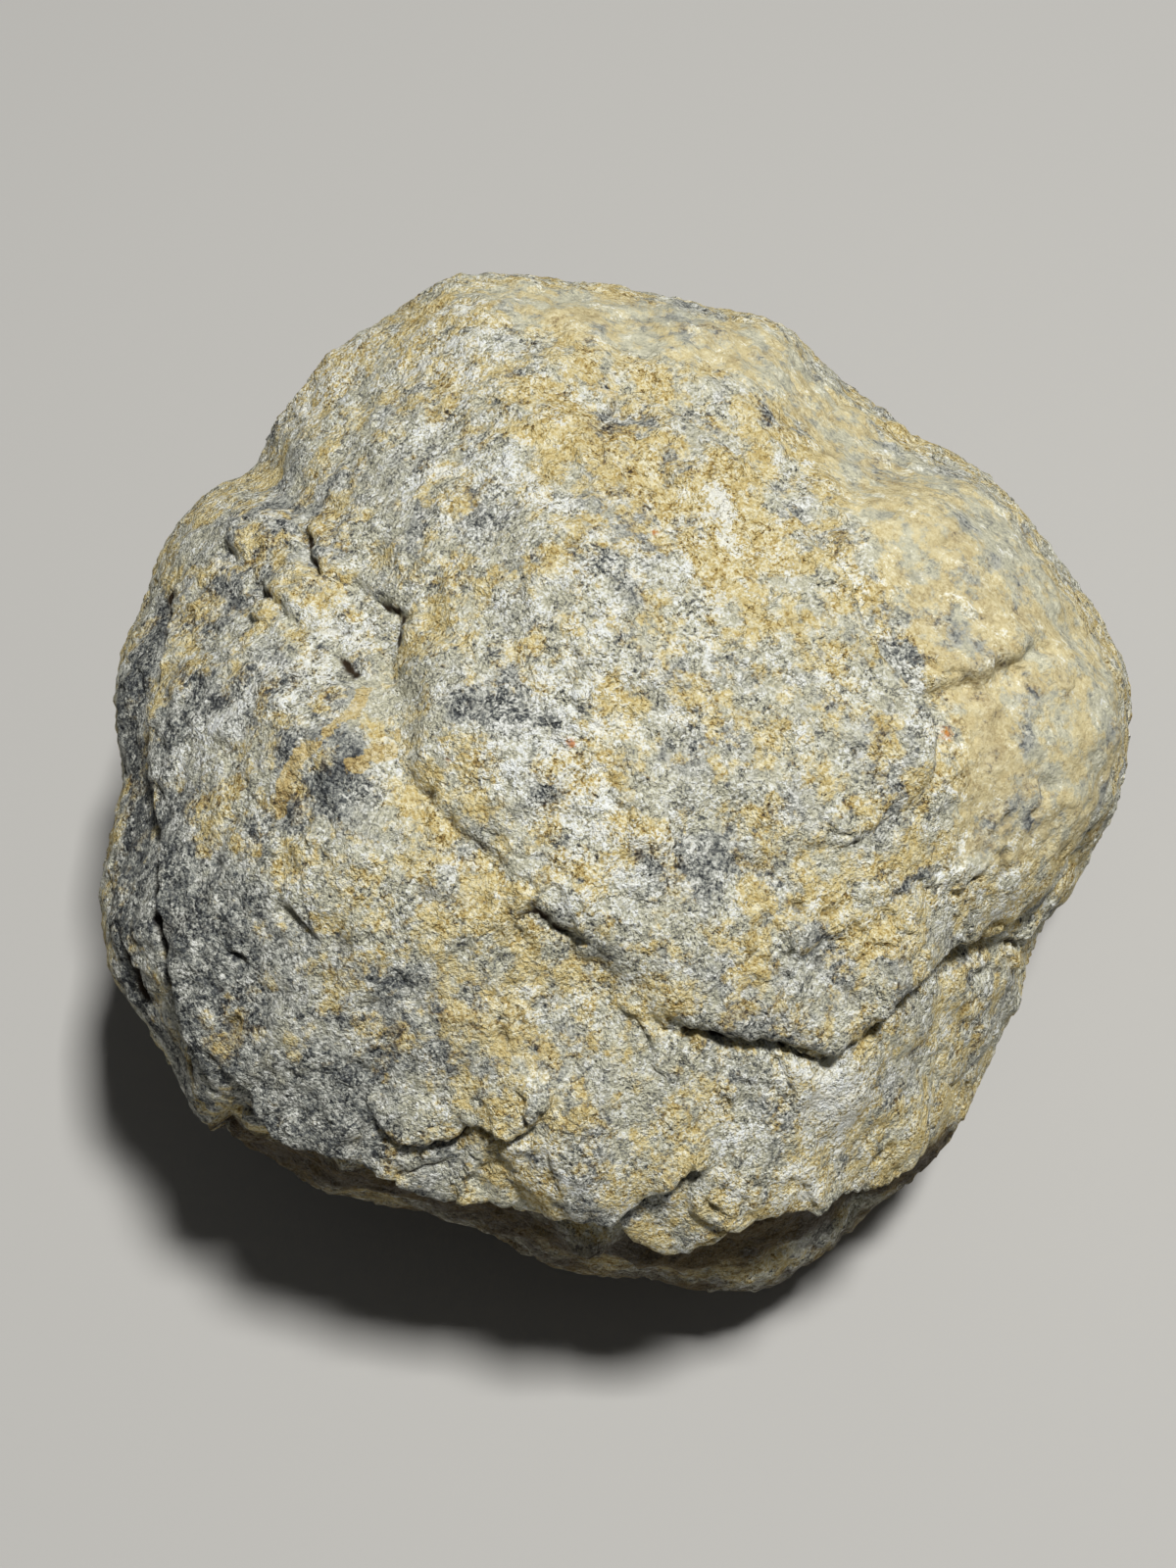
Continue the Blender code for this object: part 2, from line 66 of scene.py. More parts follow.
# Smooth noise, about -1 to 1: each corner of a cell of whole numbers has a slope, found by
# mixing the bits of its numbers and the seed, and the eight slopes' values are blended.
def noise(points, seed):
    base = np.floor(points)
    inside = (points - base).astype(np.float32)
    blend = inside ** 3 * (inside * (inside * 6.0 - 15.0) + 10.0)
    cells = base.astype(np.int64).astype(np.uint32)
    total = np.zeros(len(points), dtype=np.float32)
    for corner in range(8):
        step = np.array((corner & 1, corner >> 1 & 1, corner >> 2 & 1))
        place = cells + step.astype(np.uint32)
        key = place[:, 0] * np.uint32(374761393) + place[:, 1] * np.uint32(668265263)
        key += place[:, 2] * np.uint32(2246822519)
        away = inside - step.astype(np.float32)
        value = np.zeros(len(points), dtype=np.float32)
        for axis in range(3):
            mixed = key + np.uint32((seed * 3 + axis) * 7919 + 17)
            mixed = (mixed ^ (mixed >> np.uint32(13))) * np.uint32(1274126177)
            mixed = (mixed ^ (mixed >> np.uint32(16))) * np.uint32(2654435769)
            mixed ^= mixed >> np.uint32(15)
            value += (mixed.astype(np.float32) / 2147483647.5 - 1.0) * away[:, axis]
        share = np.ones(len(points), dtype=np.float32)
        for axis in range(3):
            share *= blend[:, axis] if step[axis] else 1.0 - blend[:, axis]
        total += value * share
    return total.astype(np.float64) * 1.5


# 0 below low, 1 above high, and a smooth ramp between.
def eased(low, high, values):
    share = np.clip((values - low) / (high - low), 0.0, 1.0)
    return share * share * (3.0 - 2.0 * share)


# The height at which the dome is widest, and its extents from there to crown and keel.
def widestAt(across):
    level = stone["widest"] + stone["lean"] * across
    return level, stone["crown"] - level, level - stone["keel"]


# The dome: a ball's direction w scaled to length 1 in the norm of power p (a squared-off
# ball), then stretched to its half width, half depth and its extents above and below.
def onDome(ways):
    power = stone["squareness"]
    unit = ways * (np.sum(np.abs(ways) ** power, axis=1) ** (-1.0 / power))[:, None]
    across = stone["halfWidth"] * unit[:, 0]
    level, above, below = widestAt(across)
    upright = level + unit[:, 2] * np.where(unit[:, 2] > 0.0, above, below)
    return np.stack((across, stone["halfDepth"] * unit[:, 1], upright), axis=1)


# Points in the frame in which the dome is a squared-off unit ball.
def inUnit(points):
    level, above, below = widestAt(points[:, 0])
    rise = points[:, 2] - level
    share = rise / np.where(rise > 0.0, above, below)
    return np.stack((points[:, 0] / stone["halfWidth"], points[:, 1] / stone["halfDepth"],
                     share), axis=1)


# The dome's outward directions: the slope of the sum of |unit| to the power p.
def domeFacing(points):
    level, above, below = widestAt(points[:, 0])
    unit = inUnit(points)
    span = np.where(unit[:, 2] > 0.0, above, below)
    slope = np.sign(unit) * np.abs(unit) ** (stone["squareness"] - 1.0)
    lean = stone["lean"] * (1.0 - np.abs(unit[:, 2])) / span
    facing = np.stack((slope[:, 0] / stone["halfWidth"] - slope[:, 2] * lean,
                       slope[:, 1] / stone["halfDepth"], slope[:, 2] / span), axis=1)
    return facing / np.linalg.norm(facing, axis=1, keepdims=True)


# The direction with this turn from +X and this tilt above level, in degrees.
def way(turn, rise):
    turn = math.radians(turn)
    rise = math.radians(rise)
    return math.cos(rise) * math.cos(turn), math.cos(rise) * math.sin(turn), math.sin(rise)


# Places in the view where points show, and their depths.
def seen(points):
    away = points - eye
    depth = -(away @ towardsEye)
    across = np.stack((away @ viewRight, -(away @ viewUp)), axis=1)
    return viewMiddle + view["focal"] * across / depth[:, None], depth


# The points that show at these places and lie at these depths.
def unseen(places, depth):
    across = (places - viewMiddle) / view["focal"]
    ways = across[:, :1] * viewRight - across[:, 1:] * viewUp - towardsEye
    return eye + depth[:, None] * ways


# The direction of offsets across the view, in steps of the rim table.
def bearings(offsets):
    turns = np.arctan2(offsets[:, 1], offsets[:, 0]) / (2.0 * math.pi)
    return turns % 1.0 * stone["bearings"]


# A rim table averaged over its neighbours with a bell of this width in degrees.
def smoothed(rim, degrees):
    width = degrees * stone["bearings"] / 360.0
    shifts = np.arange(-math.ceil(3.0 * width), math.ceil(3.0 * width) + 1)
    weights = np.exp(-(shifts / width) ** 2)
    total = sum(weight * np.roll(rim, shift) for weight, shift in zip(weights, shifts))
    return total / weights.sum()


# A rim table read at the bearings of offsets.
def rimAt(rim, offsets):
    count = stone["bearings"]
    return np.interp(bearings(offsets), np.arange(count), rim, period=count)


# The outline in the view, clockwise from the top. It and all lines below are written as
# across, down, across, down.
outline = (
    451, 283, 484, 277, 537, 280, 580, 285, 626, 289, 656, 297, 689, 302, 730, 314, 767, 319,
    792, 327, 815, 340, 833, 364, 852, 380, 874, 399, 896, 412, 918, 430, 933, 445, 955, 452,
    977, 464, 1007, 482, 1033, 508, 1055, 534, 1077, 563, 1099, 593, 1122, 626, 1136, 652,
    1149, 678, 1155, 704, 1155, 734, 1151, 778, 1140, 830, 1132, 840, 1113, 875, 1094, 913,
    1065, 944, 1055, 967, 1046, 993, 1044, 1024, 1029, 1043, 1013, 1078, 1002, 1104, 983, 1143,
    960, 1177, 937, 1200, 908, 1222, 887, 1235, 869, 1259, 841, 1281, 820, 1293, 804, 1305,
    786, 1316, 762, 1320, 734, 1317, 713, 1320, 694, 1316, 673, 1306, 645, 1304, 618, 1304,
    584, 1299, 556, 1291, 532, 1279, 511, 1267, 480, 1251, 450, 1246, 435, 1236, 407, 1234,
    374, 1227, 355, 1219, 331, 1220, 313, 1207, 288, 1190, 264, 1176, 242, 1165, 218, 1153,
    198, 1139, 189, 1122, 182, 1104, 172, 1083, 153, 1058, 141, 1034, 125, 1015, 115, 1000,
    109, 983, 103, 946, 100, 910, 107, 874, 113, 850, 119, 818, 125, 803, 124, 790, 121, 767,
    115, 719, 121, 669, 134, 636, 142, 623, 155, 585, 162, 564, 176, 539, 191, 521, 212, 501,
    230, 490, 250, 486, 264, 471, 276, 435, 291, 414, 309, 396, 319, 378, 334, 360, 356, 346,
    376, 333, 401, 319, 419, 305, 437, 294,
)


# The outline's distance from the stone's middle at every bearing.
def outlineRim():
    corners = np.reshape(outline + outline[:2], (-1, 2)) - stoneMiddle
    shares = np.linspace(0.0, 1.0, 24, endpoint=False)[:, None, None]
    dense = (corners[:-1] * (1.0 - shares) + corners[1:] * shares).reshape(-1, 2)
    order = np.argsort(bearings(dense))
    reach = np.linalg.norm(dense, axis=1)
    rim = np.interp(np.arange(stone["bearings"]), bearings(dense)[order], reach[order],
                    period=stone["bearings"])
    return smoothed(rim, stone["rimBell"])


# The farthest that points show from the stone's middle at every bearing.
def bodyRim(points):
    offsets = seen(points)[0] - stoneMiddle
    rim = np.zeros(stone["bearings"])
    steps = np.round(bearings(offsets)).astype(int) % stone["bearings"]
    np.maximum.at(rim, steps, np.linalg.norm(offsets, axis=1))
    return smoothed(rim, stone["rimBell"])


# Points spread across the line of sight by the ratio of the wanted rim to the rim they show,
# while inside they keep the plain dome's ratio.
def fitted(points, plainRim, wantedRim):
    places, depth = seen(points)
    offsets = places - stoneMiddle
    shownRim = bodyRim(points)
    inner = rimAt(wantedRim / plainRim, offsets)
    outer = rimAt(wantedRim / shownRim, offsets)
    outward = np.linalg.norm(offsets, axis=1) / rimAt(shownRim, offsets)
    share = eased(stone["pullStart"], 1.0, outward)
    spread = inner + (outer - inner) * share
    return unseen(stoneMiddle + offsets * spread[:, None], depth)


# Where the lines of sight through places first meet the dome, or pass it closest.
def firstMet(places):
    places = np.asarray(places, dtype=float)
    met = np.zeros(len(places))
    lowest = np.full(len(places), np.inf)
    nearest = view["distance"] - stone["sightReach"]
    farthest = view["distance"] + stone["sightReach"]
    for depth in np.arange(nearest, farthest, stone["sightStep"]):
        unit = inUnit(unseen(places, np.full(len(places), depth)))
        level = np.sum(np.abs(unit) ** stone["squareness"], axis=1)
        nearer = (lowest > 1.0) & (level < lowest)
        met[nearer] = depth
        lowest[nearer] = level[nearer]
    return onDome(inUnit(unseen(places, met)))


# Lobes and hollows: place in the view, radius and height, negative for a hollow.
swells = (
    ((640, 660), 31, 3), ((285, 900), 21, 2.4), ((1010, 560), 19, 2.6), ((1085, 800), 13, 1.6),
    ((800, 1160), 15, 1.6), ((500, 325), 13, 2), ((900, 1010), 9, 0.9), ((560, 1130), 11, 0.9),
    ((905, 462), 9, -2.4), ((600, 1010), 8, -2), ((375, 650), 6.5, -3.4), ((930, 770), 7, 0.8),
    ((575, 388), 4.5, 1.2), ((640, 432), 4, -1.3), ((606, 1272), 2.6, 2.6), ((655, 1290), 2.6, 2.2),
    ((856, 1110), 3.2, 1),
)

# The same on the sides out of view: turn from +X and tilt above the widest level.
farSwells = (
    (62, 4, 17, 2.2), (98, -18, 16, 1.8), (128, 12, 15, -1.6), (150, -14, 18, 2),
    (25, -24, 16, 1.8), (-70, -24, 15, 2.6), (-120, -40, 15, 1.2), (80, 30, 13, -1.4),
    (110, 36, 12, 1.5), (-160, -30, 14, -1.2),
)


# One fold, its line walked with the proud lobe on its left and the low one on its right, and
# its corners cut at a quarter and three quarters. rise and drop fade over reach (fall on the
# low side); a groove of depth cut and half-width wide runs between. roll rounds the proud edge
# down; lap leans it over the groove; start and end are the lengths over which it grows and
# dies; the seam darkness is how dark the groove's floor is painted, as crack dirt and as painted
# shade of the groove, over seam millimetres either side, and spill times that on the low side,
# where the painted shade stands in for the floor that the proud edge hides; stray is how far
# noise bends the line, and rubble how broken the ground beside it is.
def fold(rise, drop, cut, wide, reach, line, **more):
    line = np.reshape(line, (-1, 2)).astype(float)
    quarter = line[:-1] * 0.75 + line[1:] * 0.25
    threeQuarter = line[:-1] * 0.25 + line[1:] * 0.75
    inner = np.stack((quarter, threeQuarter), axis=1).reshape(-1, 2)
    line = np.concatenate((line[:1], inner, line[-1:]))
    return dict(rise=rise, drop=drop, cut=cut, wide=wide, reach=reach, line=line, **more)


folds = dict(
    lipSlope=fold(1.6, 1.5, 0, 4.5, 8, (510, 895, 545, 927, 572, 942, 600, 957, 622, 985, 650, 1012,
        690, 1043, 722, 1058), start=6, end=7),
    greatLip=fold(2.3, 1.6, 0.4, 0.7, 9, (655, 1016, 690, 1041, 722, 1055, 760, 1064, 800, 1069,
        845, 1076, 868, 1075, 905, 1042, 940, 1011, 975, 986, 1003, 972, 1030, 963, 1055, 954),
        roll=0.8, start=7, lap=0.35),
    lipCrack=fold(0.5, 0.5, 1, 0.42, 3, (527, 908, 545, 922, 556, 933, 572, 942, 585, 947, 597, 956,
        606, 960), lap=0.2, dirt=1, seam=0.25, start=5, end=1.2),
    lipLine=fold(0.2, 0.2, 0.7, 0.4, 2, (686, 1040, 704, 1048, 722, 1055, 742, 1059, 760, 1064,
        780, 1069, 800, 1069, 822, 1075, 845, 1076, 866, 1076), lap=0.2, dirt=1, seam=0.2, start=3,
        end=0.8),
    lipRight=fold(0.2, 0.4, 1.2, 0.55, 2.5, (872, 1077, 888, 1062, 905, 1042, 922, 1027, 940, 1011,
        958, 999, 975, 986, 990, 978), lap=0.3, dirt=0.9, seam=0.3, start=1, end=4),
    rightStep=fold(1.6, 2, 0.3, 1.1, 6, (880, 858, 900, 838, 925, 826, 945, 812, 958, 795, 967, 770,
        967, 735, 945, 692, 905, 650, 885, 605, 852, 556, 800, 493, 748, 445, 689, 408, 640, 385,
        600, 372), start=16, stray=0.5, rubble=0.3),
    rightTerrace=fold(0.3, 0.4, 0.3, 0.5, 3, (800, 850, 820, 862, 850, 861, 865, 862, 880, 856,
        895, 841, 912, 833, 930, 824), dirt=0.5, seam=0.22),
    rightLedge=fold(0.6, 0.8, 0.2, 1.5, 4, (795, 975, 830, 962, 860, 950, 880, 938, 906, 918,
        933, 893)),
    backGroove=fold(0.9, 1.2, 0.7, 1.1, 5, (950, 708, 970, 696, 1000, 691, 1025, 686, 1040, 678,
        1056, 666, 1077, 648, 1095, 630), dirt=0.4, start=3, end=8),
    leftValley=fold(1.3, 0.9, 1.6, 3, 6, (410, 640, 400, 690, 405, 740, 410, 777, 432, 800,
        463, 829, 486, 858, 512, 878, 540, 902)),
    leftCrack=fold(0.7, 0.8, 1.7, 0.7, 6, (160, 590, 153, 645, 147, 700, 145, 760, 143, 820,
        144, 860, 148, 900, 153, 930, 158, 960, 163, 990, 172, 1020, 183, 1042, 190, 1062,
        195, 1088, 203, 1110), dirt=1, seam=0.5, spill=1.8, stray=0.35, rubble=0.1),
    outerCrack=fold(0.3, 0.5, 1, 0.6, 3, (116, 965, 122, 980, 130, 1000, 138, 1018, 146, 1034),
        dirt=1, seam=0.36, spill=2.2, stray=0.5, rubble=0.1),
    upperLeftCrack=fold(0.6, 0.6, 0.9, 0.55, 3.5, (250, 580, 262, 596, 280, 611, 293, 623, 302, 633,
        309, 641), dirt=0.9, seam=0.27, start=2, end=1.5),
    hollowCrack=fold(0.9, 1.1, 0.8, 0.8, 4, (350, 575, 360, 592, 378, 606, 398, 615, 412, 622,
        413, 630, 408, 645, 402, 665), dirt=0.9, seam=0.3, start=3, end=3),
    shoulderCrack=fold(0.8, 0.9, 0.9, 0.5, 3.5, (308, 530, 309, 545, 313, 562, 320, 575, 328, 586),
        dirt=0.9, seam=0.25, start=2, end=2),
    cornerCrack=fold(0.5, 0.6, 0.7, 0.6, 3, (234, 521, 228, 546, 230, 567, 248, 578), dirt=0.7,
        seam=0.28),
    leftLobeCrack=fold(0.4, 0.5, 0.5, 0.5, 2.5, (268, 918, 290, 930, 305, 944, 318, 955, 328, 965),
        dirt=0.8, seam=0.2),
    frontFoldLeft=fold(0.7, 0.9, 0.8, 0.45, 4, (370, 1127, 385, 1135, 400, 1147, 415, 1155,
        430, 1158, 445, 1160, 455, 1155, 462, 1160, 472, 1155, 485, 1147, 497, 1145, 512, 1149,
        525, 1152, 540, 1147, 548, 1137, 562, 1140, 573, 1145), dirt=0.9, seam=0.24, start=3,
        end=3),
    frontFoldMiddle=fold(0.8, 1.2, 0.6, 0.55, 3.5, (613, 1232, 630, 1226, 647, 1219, 657, 1214,
        668, 1208, 680, 1205, 690, 1197, 705, 1192, 722, 1196), dirt=0.9, seam=0.28, start=2,
        end=2),
    frontBrow=fold(2.4, 3.4, 0.2, 0.9, 7, (205, 1096, 228, 1118, 252, 1135, 285, 1154, 318, 1170,
        345, 1178, 375, 1184, 400, 1193, 425, 1206, 450, 1214, 475, 1215, 500, 1220, 515, 1230,
        535, 1240, 560, 1244, 600, 1241, 618, 1242, 632, 1254, 652, 1269, 676, 1281, 706, 1284,
        743, 1273, 786, 1257, 841, 1239, 889, 1221, 926, 1203, 960, 1178), fall=24, lap=0.8,
        start=9),
    rimNotch=fold(0.3, 0.6, 1.8, 1.3, 3, (1066, 915, 1083, 908, 1103, 880, 1109, 859, 1128, 840),
        dirt=0.5),
    rightGroove=fold(0.3, 0.4, 0.6, 1.3, 3, (1063, 806, 1079, 797, 1094, 783)),
    topCrack=fold(0.3, 0.5, 0.4, 1.2, 2.5, (667, 471, 681, 486, 696, 497, 707, 500), dirt=0.7),
    domeKnob=fold(0.5, 0.5, 0.2, 1.3, 3.5, (755, 759, 785, 743, 807, 752, 822, 770)),
    domeCrack=fold(0.3, 0.4, 0.4, 1.2, 3, (575, 655, 600, 675, 622, 689, 641, 700), dirt=0.4),
)

# Hairline cracks and small edges that only the dressed stone has.
hairlines = (
    fold(0.3, 0.3, 0.5, 0.6, 1.6, (318, 637, 340, 640, 360, 648), dirt=0.8),
    fold(0.2, 0.3, 0.5, 0.6, 1.6, (344, 667, 356, 677, 366, 695), dirt=0.8),
    fold(0.3, 0.4, 0.6, 0.45, 1.8, (213, 964, 228, 973, 240, 982, 250, 991), dirt=0.9, seam=0.24),
    fold(0.2, 0.2, 0.5, 0.6, 1.4, (209, 874, 217, 883, 217, 895), dirt=0.6),
    fold(0.3, 0.3, 0.5, 0.45, 1.6, (829, 603, 848, 598, 866, 603, 882, 609), dirt=0.7, seam=0.24),
    fold(0.2, 0.2, 0.5, 0.6, 1.4, (623, 787, 642, 813, 661, 825, 684, 829), dirt=0.4),
    fold(0.2, 0.3, 1.5, 0.9, 1.5, (836, 1080, 850, 1083, 864, 1080), dirt=1),
    fold(0.4, 0.4, 0.6, 0.6, 2, (970, 985, 995, 972, 1020, 965, 1055, 960), dirt=0.7),
    fold(0.3, 0.3, 0.5, 0.6, 1.6, (1000, 1005, 1015, 998, 1030, 990), dirt=0.6),
    fold(0.2, 0.3, 0.5, 0.6, 1.5, (795, 970, 802, 972, 810, 973), dirt=0.7),
    fold(0.2, 0.2, 0.3, 0.45, 1.8, (590, 983, 606, 975, 620, 986, 634, 1003, 650, 1012), dirt=0.5,
        seam=0.22),
    fold(0.2, 0.3, 0.3, 0.45, 1.8, (640, 1028, 660, 1034, 680, 1044, 700, 1056, 716, 1060),
        dirt=0.5, seam=0.22),
    fold(0.3, 0.4, 0.5, 0.6, 1.6, (520, 929, 536, 926, 545, 927), dirt=0.6),
    fold(0.2, 0.3, 0.3, 0.5, 1.8, (745, 1100, 760, 1110, 775, 1113, 790, 1112, 800, 1122), dirt=0.5,
        seam=0.24),
    fold(0.2, 0.3, 0.4, 0.4, 1.6, (405, 1166, 430, 1171, 450, 1168, 475, 1165, 492, 1163), dirt=0.7,
        seam=0.22),
    fold(0.2, 0.3, 0.4, 0.4, 1.4, (482, 1185, 496, 1178, 512, 1171), dirt=0.7, seam=0.22),
    fold(0.3, 0.5, 0.2, 0.8, 2.5, (548, 1137, 556, 1128, 565, 1118, 578, 1105), dirt=0.3),
    fold(0.3, 0.4, 0.6, 0.45, 1.8, (262, 1163, 280, 1158, 300, 1155, 318, 1156, 332, 1162,
        348, 1170), dirt=0.8, seam=0.24),
    fold(0.3, 0.4, 0.6, 0.45, 1.6, (296, 1178, 315, 1172, 332, 1178, 352, 1182, 374, 1186),
        dirt=0.8, seam=0.24),
    fold(0.3, 0.4, 0.5, 0.5, 2, (972, 914, 980, 904, 990, 897, 1010, 895), dirt=0.5),
    fold(0.4, 0.5, 0.5, 0.5, 2, (998, 955, 1014, 945, 1034, 937, 1058, 934), dirt=0.6),
    fold(0.3, 0.4, 0.5, 0.5, 1.8, (402, 770, 420, 793, 440, 812, 463, 832, 486, 858, 512, 880),
        dirt=0.5),
    fold(0.4, 0.5, 0.7, 0.5, 1.8, (445, 1211, 460, 1207, 474, 1205, 487, 1208, 500, 1210, 510, 1206,
        514, 1198), dirt=0.9, seam=0.26),
)

# Folds on the sides out of view, their lines as turn, tilt, turn, tilt.
farFolds = (
    fold(1.2, 1.8, 1.8, 1.2, 7, (40, -6, 58, -14, 76, -12, 94, -3, 110, 2, 124, -2), dirt=0.8),
    fold(0.8, 1.4, 1.6, 1.2, 6, (140, 14, 150, 2, 164, -6, 180, -10, 196, -20), dirt=0.7),
    fold(0.6, 1, 1.2, 1.1, 5, (-20, -18, -2, -26, 16, -30, 34, -28), dirt=0.6),
    fold(0.6, 1, 1.3, 1.1, 5, (100, 30, 92, 18, 84, 8), dirt=0.6),
    fold(0.6, 0.9, 1.2, 1.1, 5, (-130, -26, -108, -34, -88, -30, -70, -36), dirt=0.6),
)

# Relief all over as (size, height, seed): lumps coarse to fine, the bends of the folds' lines,
# knobs, crumbs, ledges and pits. farGain is how much stronger lumps are out of view, calm the
# heights between which relief grows from its least to its full. Bends are (size in spacings,
# gain), patches (size in spacings or pits, and the noise at which they begin and are full).
relief = dict(
    lumps=((19.0, 1.5, 11), (9.0, 0.85, 12), (4.6, 0.36, 13)), farGain=1.5, farSide=(0.1, -0.5),
    calm=(6.0, 16.0), calmLeast=0.3, wander=(6.0, 0.7, 21), jitter=(1.4, 0.34, 31),
    knobs=(2.9, 0.55, 41), knobMiddle=0.25, crumbs=(1.3, 0.20, 42),
    ledges=((2.7, 0.55, 51), (1.3, 0.26, 54)), ledgeWay=(-0.80, -0.60),
    ledgeBends=((3.2, 1.3), (1.1, 0.45)), ledgeLip=0.12, ledgePatch=(3.0, -0.15, 0.45),
    ledgeStray=2.0, ledgeLeast=0.8, rubble=1.3, pits=(2.0, 0.5, 61), pitEdge=(0.38, 0.62),
    pitPatch=(5.0, 0.0, 0.5),
)

# Where a fold is let go of, in reaches; how its ends and its seam's ends fade, as (length,
# share of the line); the common seam; and how wide roll, lap and rubble are.
spread = dict(limit=7.0, ends=(5.0, 1.0 / 3.0), seamEnds=(2.0, 0.25), seam=0.35, roll=3.0,
              lap=2.5, rubble=3.5)


# The height of lobes and hollows at points of the dome: a sum of bells.
def swellHeight(points, bumps):
    height = np.zeros(len(points))
    for middle, radius, rise in bumps:
        gap = np.sum((points - middle) ** 2, axis=1)
        height += rise * np.exp(-gap / radius ** 2)
    return height


# For each point the distance to a line, how far it lies to the line's left, how far along,
# and the way to the line's right; last the line's length.
def lineFrame(points, facing, line):
    nearest = np.full(len(points), np.inf)
    side = np.zeros(len(points))
    course = np.zeros(len(points))
    rightward = np.zeros((len(points), 3))
    walked = 0.0
    for start, end in zip(line[:-1], line[1:]):
        run = end - start
        length = np.linalg.norm(run)
        away = points - start
        share = np.clip(away @ run / length ** 2, 0.0, 1.0)
        gap = away - share[:, None] * run
        distance = np.linalg.norm(gap, axis=1)
        better = distance < nearest
        leftward = np.cross(facing[better], run / length)
        nearest[better] = distance[better]
        side[better] = np.sum(gap[better] * leftward, axis=1)
        course[better] = walked + share[better] * length
        rightward[better] = -leftward
        walked += length
    return nearest, side, course, rightward, walked


# One fold's height, the darkness of its seam (crack dirt and painted shade), its lap and how
# broken the ground beside it is, at the points near enough to feel it.
# Height is start and end ramps times (low side blended into proud side, less the groove).
def foldLayers(points, facing, fold, line):
    middle = (line.min(axis=0) + line.max(axis=0)) / 2.0
    far = spread["limit"] * max(fold["reach"], fold.get("fall", 0.0))
    reach = np.linalg.norm(line - middle, axis=1).max() + far
    near = np.nonzero(np.sum((points - middle) ** 2, axis=1) < reach ** 2)[0]
    nearest, side, course, rightward, walked = lineFrame(points[near], facing[near], line)
    ease, seamEase = (min(length, share * walked) for length, share
                      in (spread["ends"], spread["seamEnds"]))
    ramp = eased(0.0, fold.get("start", ease), course)
    ramp *= eased(0.0, fold.get("end", ease), walked - course)
    share = 0.5 + 0.5 * np.tanh(side / (0.5 * fold["wide"]))
    proud = fold["rise"] * np.exp(-nearest / fold["reach"])
    proud *= 1.0 - fold.get("roll", 0.0) * np.exp(-nearest / spread["roll"])
    low = -fold["drop"] * np.exp(-nearest / fold.get("fall", fold["reach"]))
    groove = fold["cut"] * np.exp(-(nearest / fold["wide"]) ** 2)
    height = ramp * (low + (proud - low) * share - groove)
    shortRamp = eased(0.0, seamEase, course) * eased(0.0, seamEase, walked - course)
    seam = fold.get("seam", spread["seam"]) * np.where(side < 0.0, fold.get("spill", 1.0), 1.0)
    # Crack dirt and painted shade: the seam's floor darkened, wider on the low side by spill.
    dirt = fold.get("dirt", 0.0) * shortRamp * np.exp(-(nearest / seam) ** 2)
    lean = fold.get("lap", 0.0) * ramp * share * np.exp(-(nearest / spread["lap"]) ** 2)
    broken = fold.get("rubble", 1.0) * ramp * np.exp(-(nearest / spread["rubble"]) ** 2)
    return near, height, dirt, rightward * lean[:, None], broken


# Flakes: a saw of heights that climbs down the stone's left front and drops sharply, its
# phase bent by noise, so that small ledges lie over each other like scales.
def ledgeHeight(points, spacing, height, seed):
    across, up = relief["ledgeWay"]
    phase = points @ (viewRight * across + viewUp * up) / spacing
    for step, (size, bend) in enumerate(relief["ledgeBends"]):
        phase = phase + bend * noise(points / (size * spacing), seed + step)
    saw = phase - np.floor(phase)
    saw = saw * eased(0.0, relief["ledgeLip"], 1.0 - saw)
    size, low, high = relief["ledgePatch"]
    return height * saw * eased(low, high, noise(points / (size * spacing), seed + 2))


# Small vugs: where noise is above a level the surface sinks to a flat-bottomed pit, and a
# coarser noise gathers the pits in patches.
def pitHeight(points, size, depth, seed):
    bed = eased(*relief["pitEdge"], noise(points / size, seed))
    wider, low, high = relief["pitPatch"]
    return -depth * bed * eased(low, high, noise(points / (wider * size), seed + 1))


